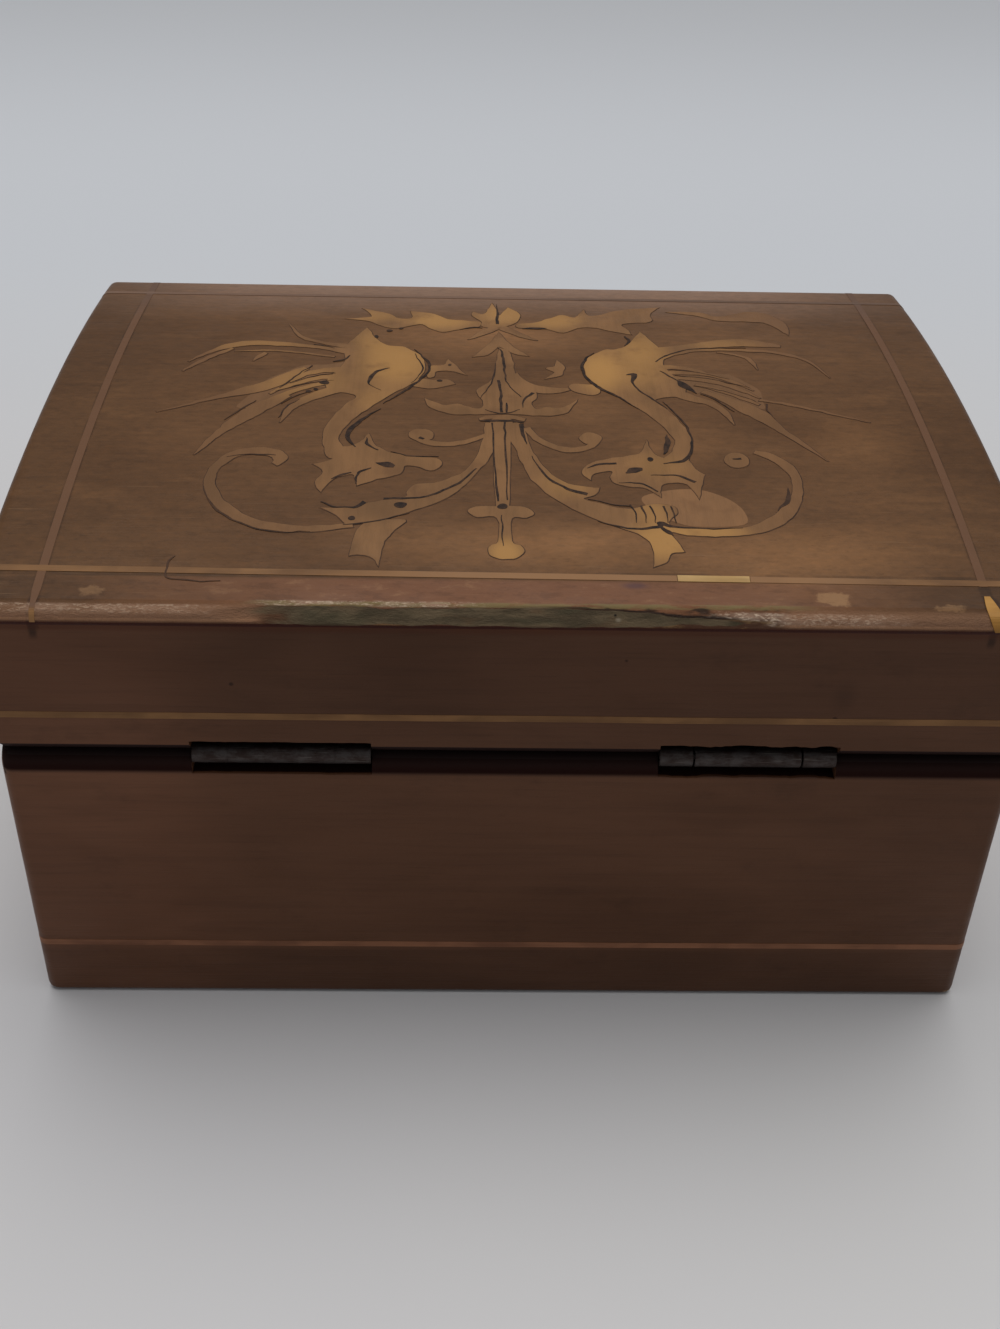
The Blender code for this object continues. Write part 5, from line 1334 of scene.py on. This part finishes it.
def marquetry_outlines():
    """The inlaid pieces, each a list of outlines that together make one piece."""
    def curves(group):
        return [smooth(points) for points in group]

    def bands(group):
        return [ribbon(path) for path in group]

    pieces = {
        "torch": curves(TORCH) + bands([*TORCH_BANDS, RING]),
        "creature_right": curves([BODY_AND_NECK, *CLAWS_RIGHT, HEAD_RIGHT]) + bands(FEATHERS_RIGHT),
        "creature_left": curves([mirrored(BODY_AND_NECK), *CLAWS_LEFT, HEAD_LEFT]) + bands(FEATHERS_LEFT),
        "garland_left": curves(GARLANDS[:1]),
        "garland_right": curves(GARLANDS[1:]),
    }
    for i, (side, eyes) in enumerate((("left", SCROLL_EYES[:1]), ("right", SCROLL_EYES[1:]))):
        pieces[f"tail_scroll_{side}"] = (curves(TAIL_LEAVES[i::2]) + bands(TAIL_BANDS[i::2])
                                         + [oval(*eye) for eye in eyes])
    return pieces


def hand_cut(outline, amount=0.24, scale=1.4):
    """The outline with the small unevenness of pieces cut by hand."""
    return [(x + amount * noise.noise(Vector((x, y, 2.0)) / scale),
             y + amount * noise.noise(Vector((x, y, 9.0)) / scale)) for x, y in outline]


def make_marquetry():
    pieces = marquetry_outlines()
    for name, smooth_outlines in pieces.items():
        outlines = [hand_cut(o) for o in smooth_outlines]
        # The joints are shifted towards the near sides, where they also serve as painted shadow.
        joints = [[(x + 0.03, y - 0.06) for x, y in grown(o, 0.13)] for o in outlines]
        sheet(f"inlay_{name}_plate", outlines, "inlay", PROUD, replaced=(f"inlay_{name}",))
        sheet(f"joint_{name}", joints, "joint_and_shadow", PROUD * 0.5)
    sheet("feather_ground", [smooth(GROUND_RIGHT), smooth(GROUND_LEFT)], "shaded_inlay", PROUD * 0.2)
    sheet("inlay_stone", [smooth(STONE)], "stone", PROUD * 0.3)
    lines = [ribbon(path) for path in INK_LINES]
    for x0, y0, x1, y1 in HATCH_LEFT + HATCH_RIGHT:
        middle = ((x0 + x1) / 2, (y0 + y1) / 2 + 0.7)
        lines.append(ribbon([(x0, y0, 0.03), (*middle, 0.08), (x1, y1, 0.03)]))
    for x in STRIPES:
        lines.append(ribbon([(x, -29.6, 0.14), (x + 0.5, -31.6, 0.12), (x + 0.5, -33.8, 0.05)]))
    lines += [oval(*blot) for blot in BLOTS]
    sheet("scorched_lines", [hand_cut(line) for line in lines], "ink", PROUD * 1.6, 0.3, 4.0)


# ---------------------------------------------------------------- hinges

# The gaps that show between the knuckles: dirt has nearly closed those of the left hinge.
SEAMS = {"left": 0.02, "right": 0.28}
KNUCKLE_EASE = {"left": 0.02, "right": 0.12}


def tube(x0, x1, radius, bore, ease, count=40):
    """A knuckle with eased ends round the hinge's axis."""
    profile = [(x0, bore), (x0, radius - ease), (x0 + ease, radius), (x1 - ease, radius), (x1, radius - ease),
               (x1, bore)]
    turns = [2 * math.pi * i / count for i in range(count)]
    shape = bmesh.new()
    rings = []
    for x, r in profile:
        ring = [(x, HINGE_Y + r * math.cos(turn), HINGE_Z + r * math.sin(turn)) for turn in turns]
        rings.append([shape.verts.new(point) for point in ring])
    for near, far in zip(rings, rings[1:] + rings[:1]):
        for i in range(count):
            j = (i + 1) % count
            shape.faces.new((near[i], near[j], far[j], far[i]))
    return shape


def make_hinges():
    """Barrels with a little wear, leaves let into the wood, pins with headed ends, and their screws."""
    for side, (low, high) in HINGES.items():
        centre = (low.x + high.x) / 2
        half = (high.x - low.x) / 2
        middle = MIDDLE_KNUCKLE / 2
        seam = middle + SEAMS[side]
        knuckles = {"body": [(-half, -seam), (seam, half)], "lid": [(-middle, middle)]}
        for body, spans in knuckles.items():
            refined(f"{side}_hinge_{body}_leaf", "steel", body, 0.12)
            for i, (start, end) in enumerate(spans):
                shape = tube(centre + start, centre + end, BARREL_RADIUS + 0.03, BARREL_RADIUS - 0.5,
                             KNUCKLE_EASE[side])
                barrel = make_object(f"{side}_hinge_{body}_knuckle_{i}", shape, "steel", body)
                for vertex in barrel.data.vertices:
                    place = vertex.co / MM
                    vertex.co += vertex.normal * (0.05 * MM * noise.noise(place * 0.8))
                shade(barrel, 40)
            for end in "ab":
                refined(f"{side}_hinge_{body}_screw_{end}", "steel", body, 0.05)
        refined(f"{side}_hinge_pin", "steel", "body", 0.1)


# ---------------------------------------------------------------- front, lock, drawer and inside

def make_front_wall():
    """The front wall without the ends that the side skins cover.

    Its lower arrises are taken off, because the skins curve in there to the box's rounded foot."""
    wall = refined("front_wall", "plain", "body", 0.12)
    keep = HALF_BODY - VENEER - 0.02
    foot = HALF_BODY - FOOT_RADIUS - SKIN_AT_FOOT - 0.1
    ends, arrises = [], []
    for side in (-1, 1):
        low_x, high_x = sorted((side * keep, side * (HALF_BODY + 1)))
        ends.append(block_shape((low_x, 0, -1), (high_x, HALF_DEPTH, BODY_TOP + 1)))
        outline = [(side * (foot - 1.6), -1), (side * (foot + 1.6), -1), (side * (foot + 1.6), 1)]
        arrises.append(loft([[(x, y, z) for x, z in outline] for y in (0, HALF_DEPTH)]))
    cut(wall, ends + arrises)


# The remaining CAD nodes: (material, body, softened width, nodes).
OTHER_PIECES = [
    ("veneer", "body", 0.3, ["front_facing_fixed"]),
    ("veneer", "sliding_facing", 0.3, ["front_facing_sliding"]),
    ("veneer", "base_strip", 0.3, ["front_base_strip"]),
    ("veneer", "key_drawer", 0.3, ["drawer_front"]),
    ("string", "body", 0.15, ["front_guide_string"]),
    ("plain", "body", 0.25, ["base_board", "compartment_floor", "drawer_runner_front", "drawer_runner_rear"]),
    ("plain", "key_drawer", 0.25, ["drawer_tray"]),
    ("steel", "key_drawer", 0.15, ["key"]),
    ("steel", "body", 0.15, ["lock_case"]),
    ("steel", "bolt", 0.1, ["lock_bolt"]),
    ("steel", "lid", 0.12, ["strike_plate"]),
    ("steel", "lid", 0.05, ["strike_screw_left", "strike_screw_right"]),
]


def make_other_pieces():
    make_front_wall()
    for material, body, width, nodes in OTHER_PIECES:
        for node in nodes:
            refined(node, material, body, width)


# ---------------------------------------------------------------- floor, light and camera

FLOOR_SIZE = 6000.0
CAMERA_PLACE = (-6.99, -229.90, 198.74)
CAMERA_PITCH = 36.89
CAMERA_YAW = -1.634
CAMERA_ROLL = 1.561
CAMERA_LENS = 43.375
KEY_LIGHT = 2.0
KEY_TILT = 14.0
KEY_SPREAD = 58.0
SKY_LIGHT = 0.28


def make_stage():
    shape = bmesh.new()
    bmesh.ops.create_grid(shape, x_segments=8, y_segments=8, size=FLOOR_SIZE / 2)
    floor = make_object("floor", shape, "floor", None)
    sun = bpy.data.objects.new("key_light", bpy.data.lights.new("key_light", "SUN"))
    sun.data.energy = KEY_LIGHT
    sun.data.angle = math.radians(KEY_SPREAD)
    sun.data.color = (1.0, 0.985, 0.97)
    sun.rotation_euler = (math.radians(-KEY_TILT), 0, 0)
    bpy.context.scene.collection.objects.link(sun)
    world = bpy.data.worlds.new("studio")
    world.use_nodes = True
    background = world.node_tree.nodes["Background"]
    background.inputs["Color"].default_value = (0.94, 0.97, 1.0, 1)
    background.inputs["Strength"].default_value = SKY_LIGHT
    bpy.context.scene.world = world
    bpy.context.scene.view_settings.view_transform = "Standard"


def make_camera():
    camera = bpy.data.objects.new("camera", bpy.data.cameras.new("camera"))
    camera.data.lens = CAMERA_LENS
    camera.data.sensor_width = 36.0
    camera.data.clip_start = 0.01
    camera.data.clip_end = 20.0
    turn = (Matrix.Rotation(math.radians(CAMERA_YAW), 4, "Z")
            @ Matrix.Rotation(math.radians(90 - CAMERA_PITCH), 4, "X")
            @ Matrix.Rotation(math.radians(CAMERA_ROLL), 4, "Z"))
    camera.matrix_world = Matrix.Translation(Vector(CAMERA_PLACE) * MM) @ turn
    bpy.context.scene.collection.objects.link(camera)
    bpy.context.scene.camera = camera


make_camera()
make_stage()
make_lid_shell()
make_body_shell()
make_top_strings()
make_wall_lines()
make_marquetry()
make_hinges()
make_other_pieces()
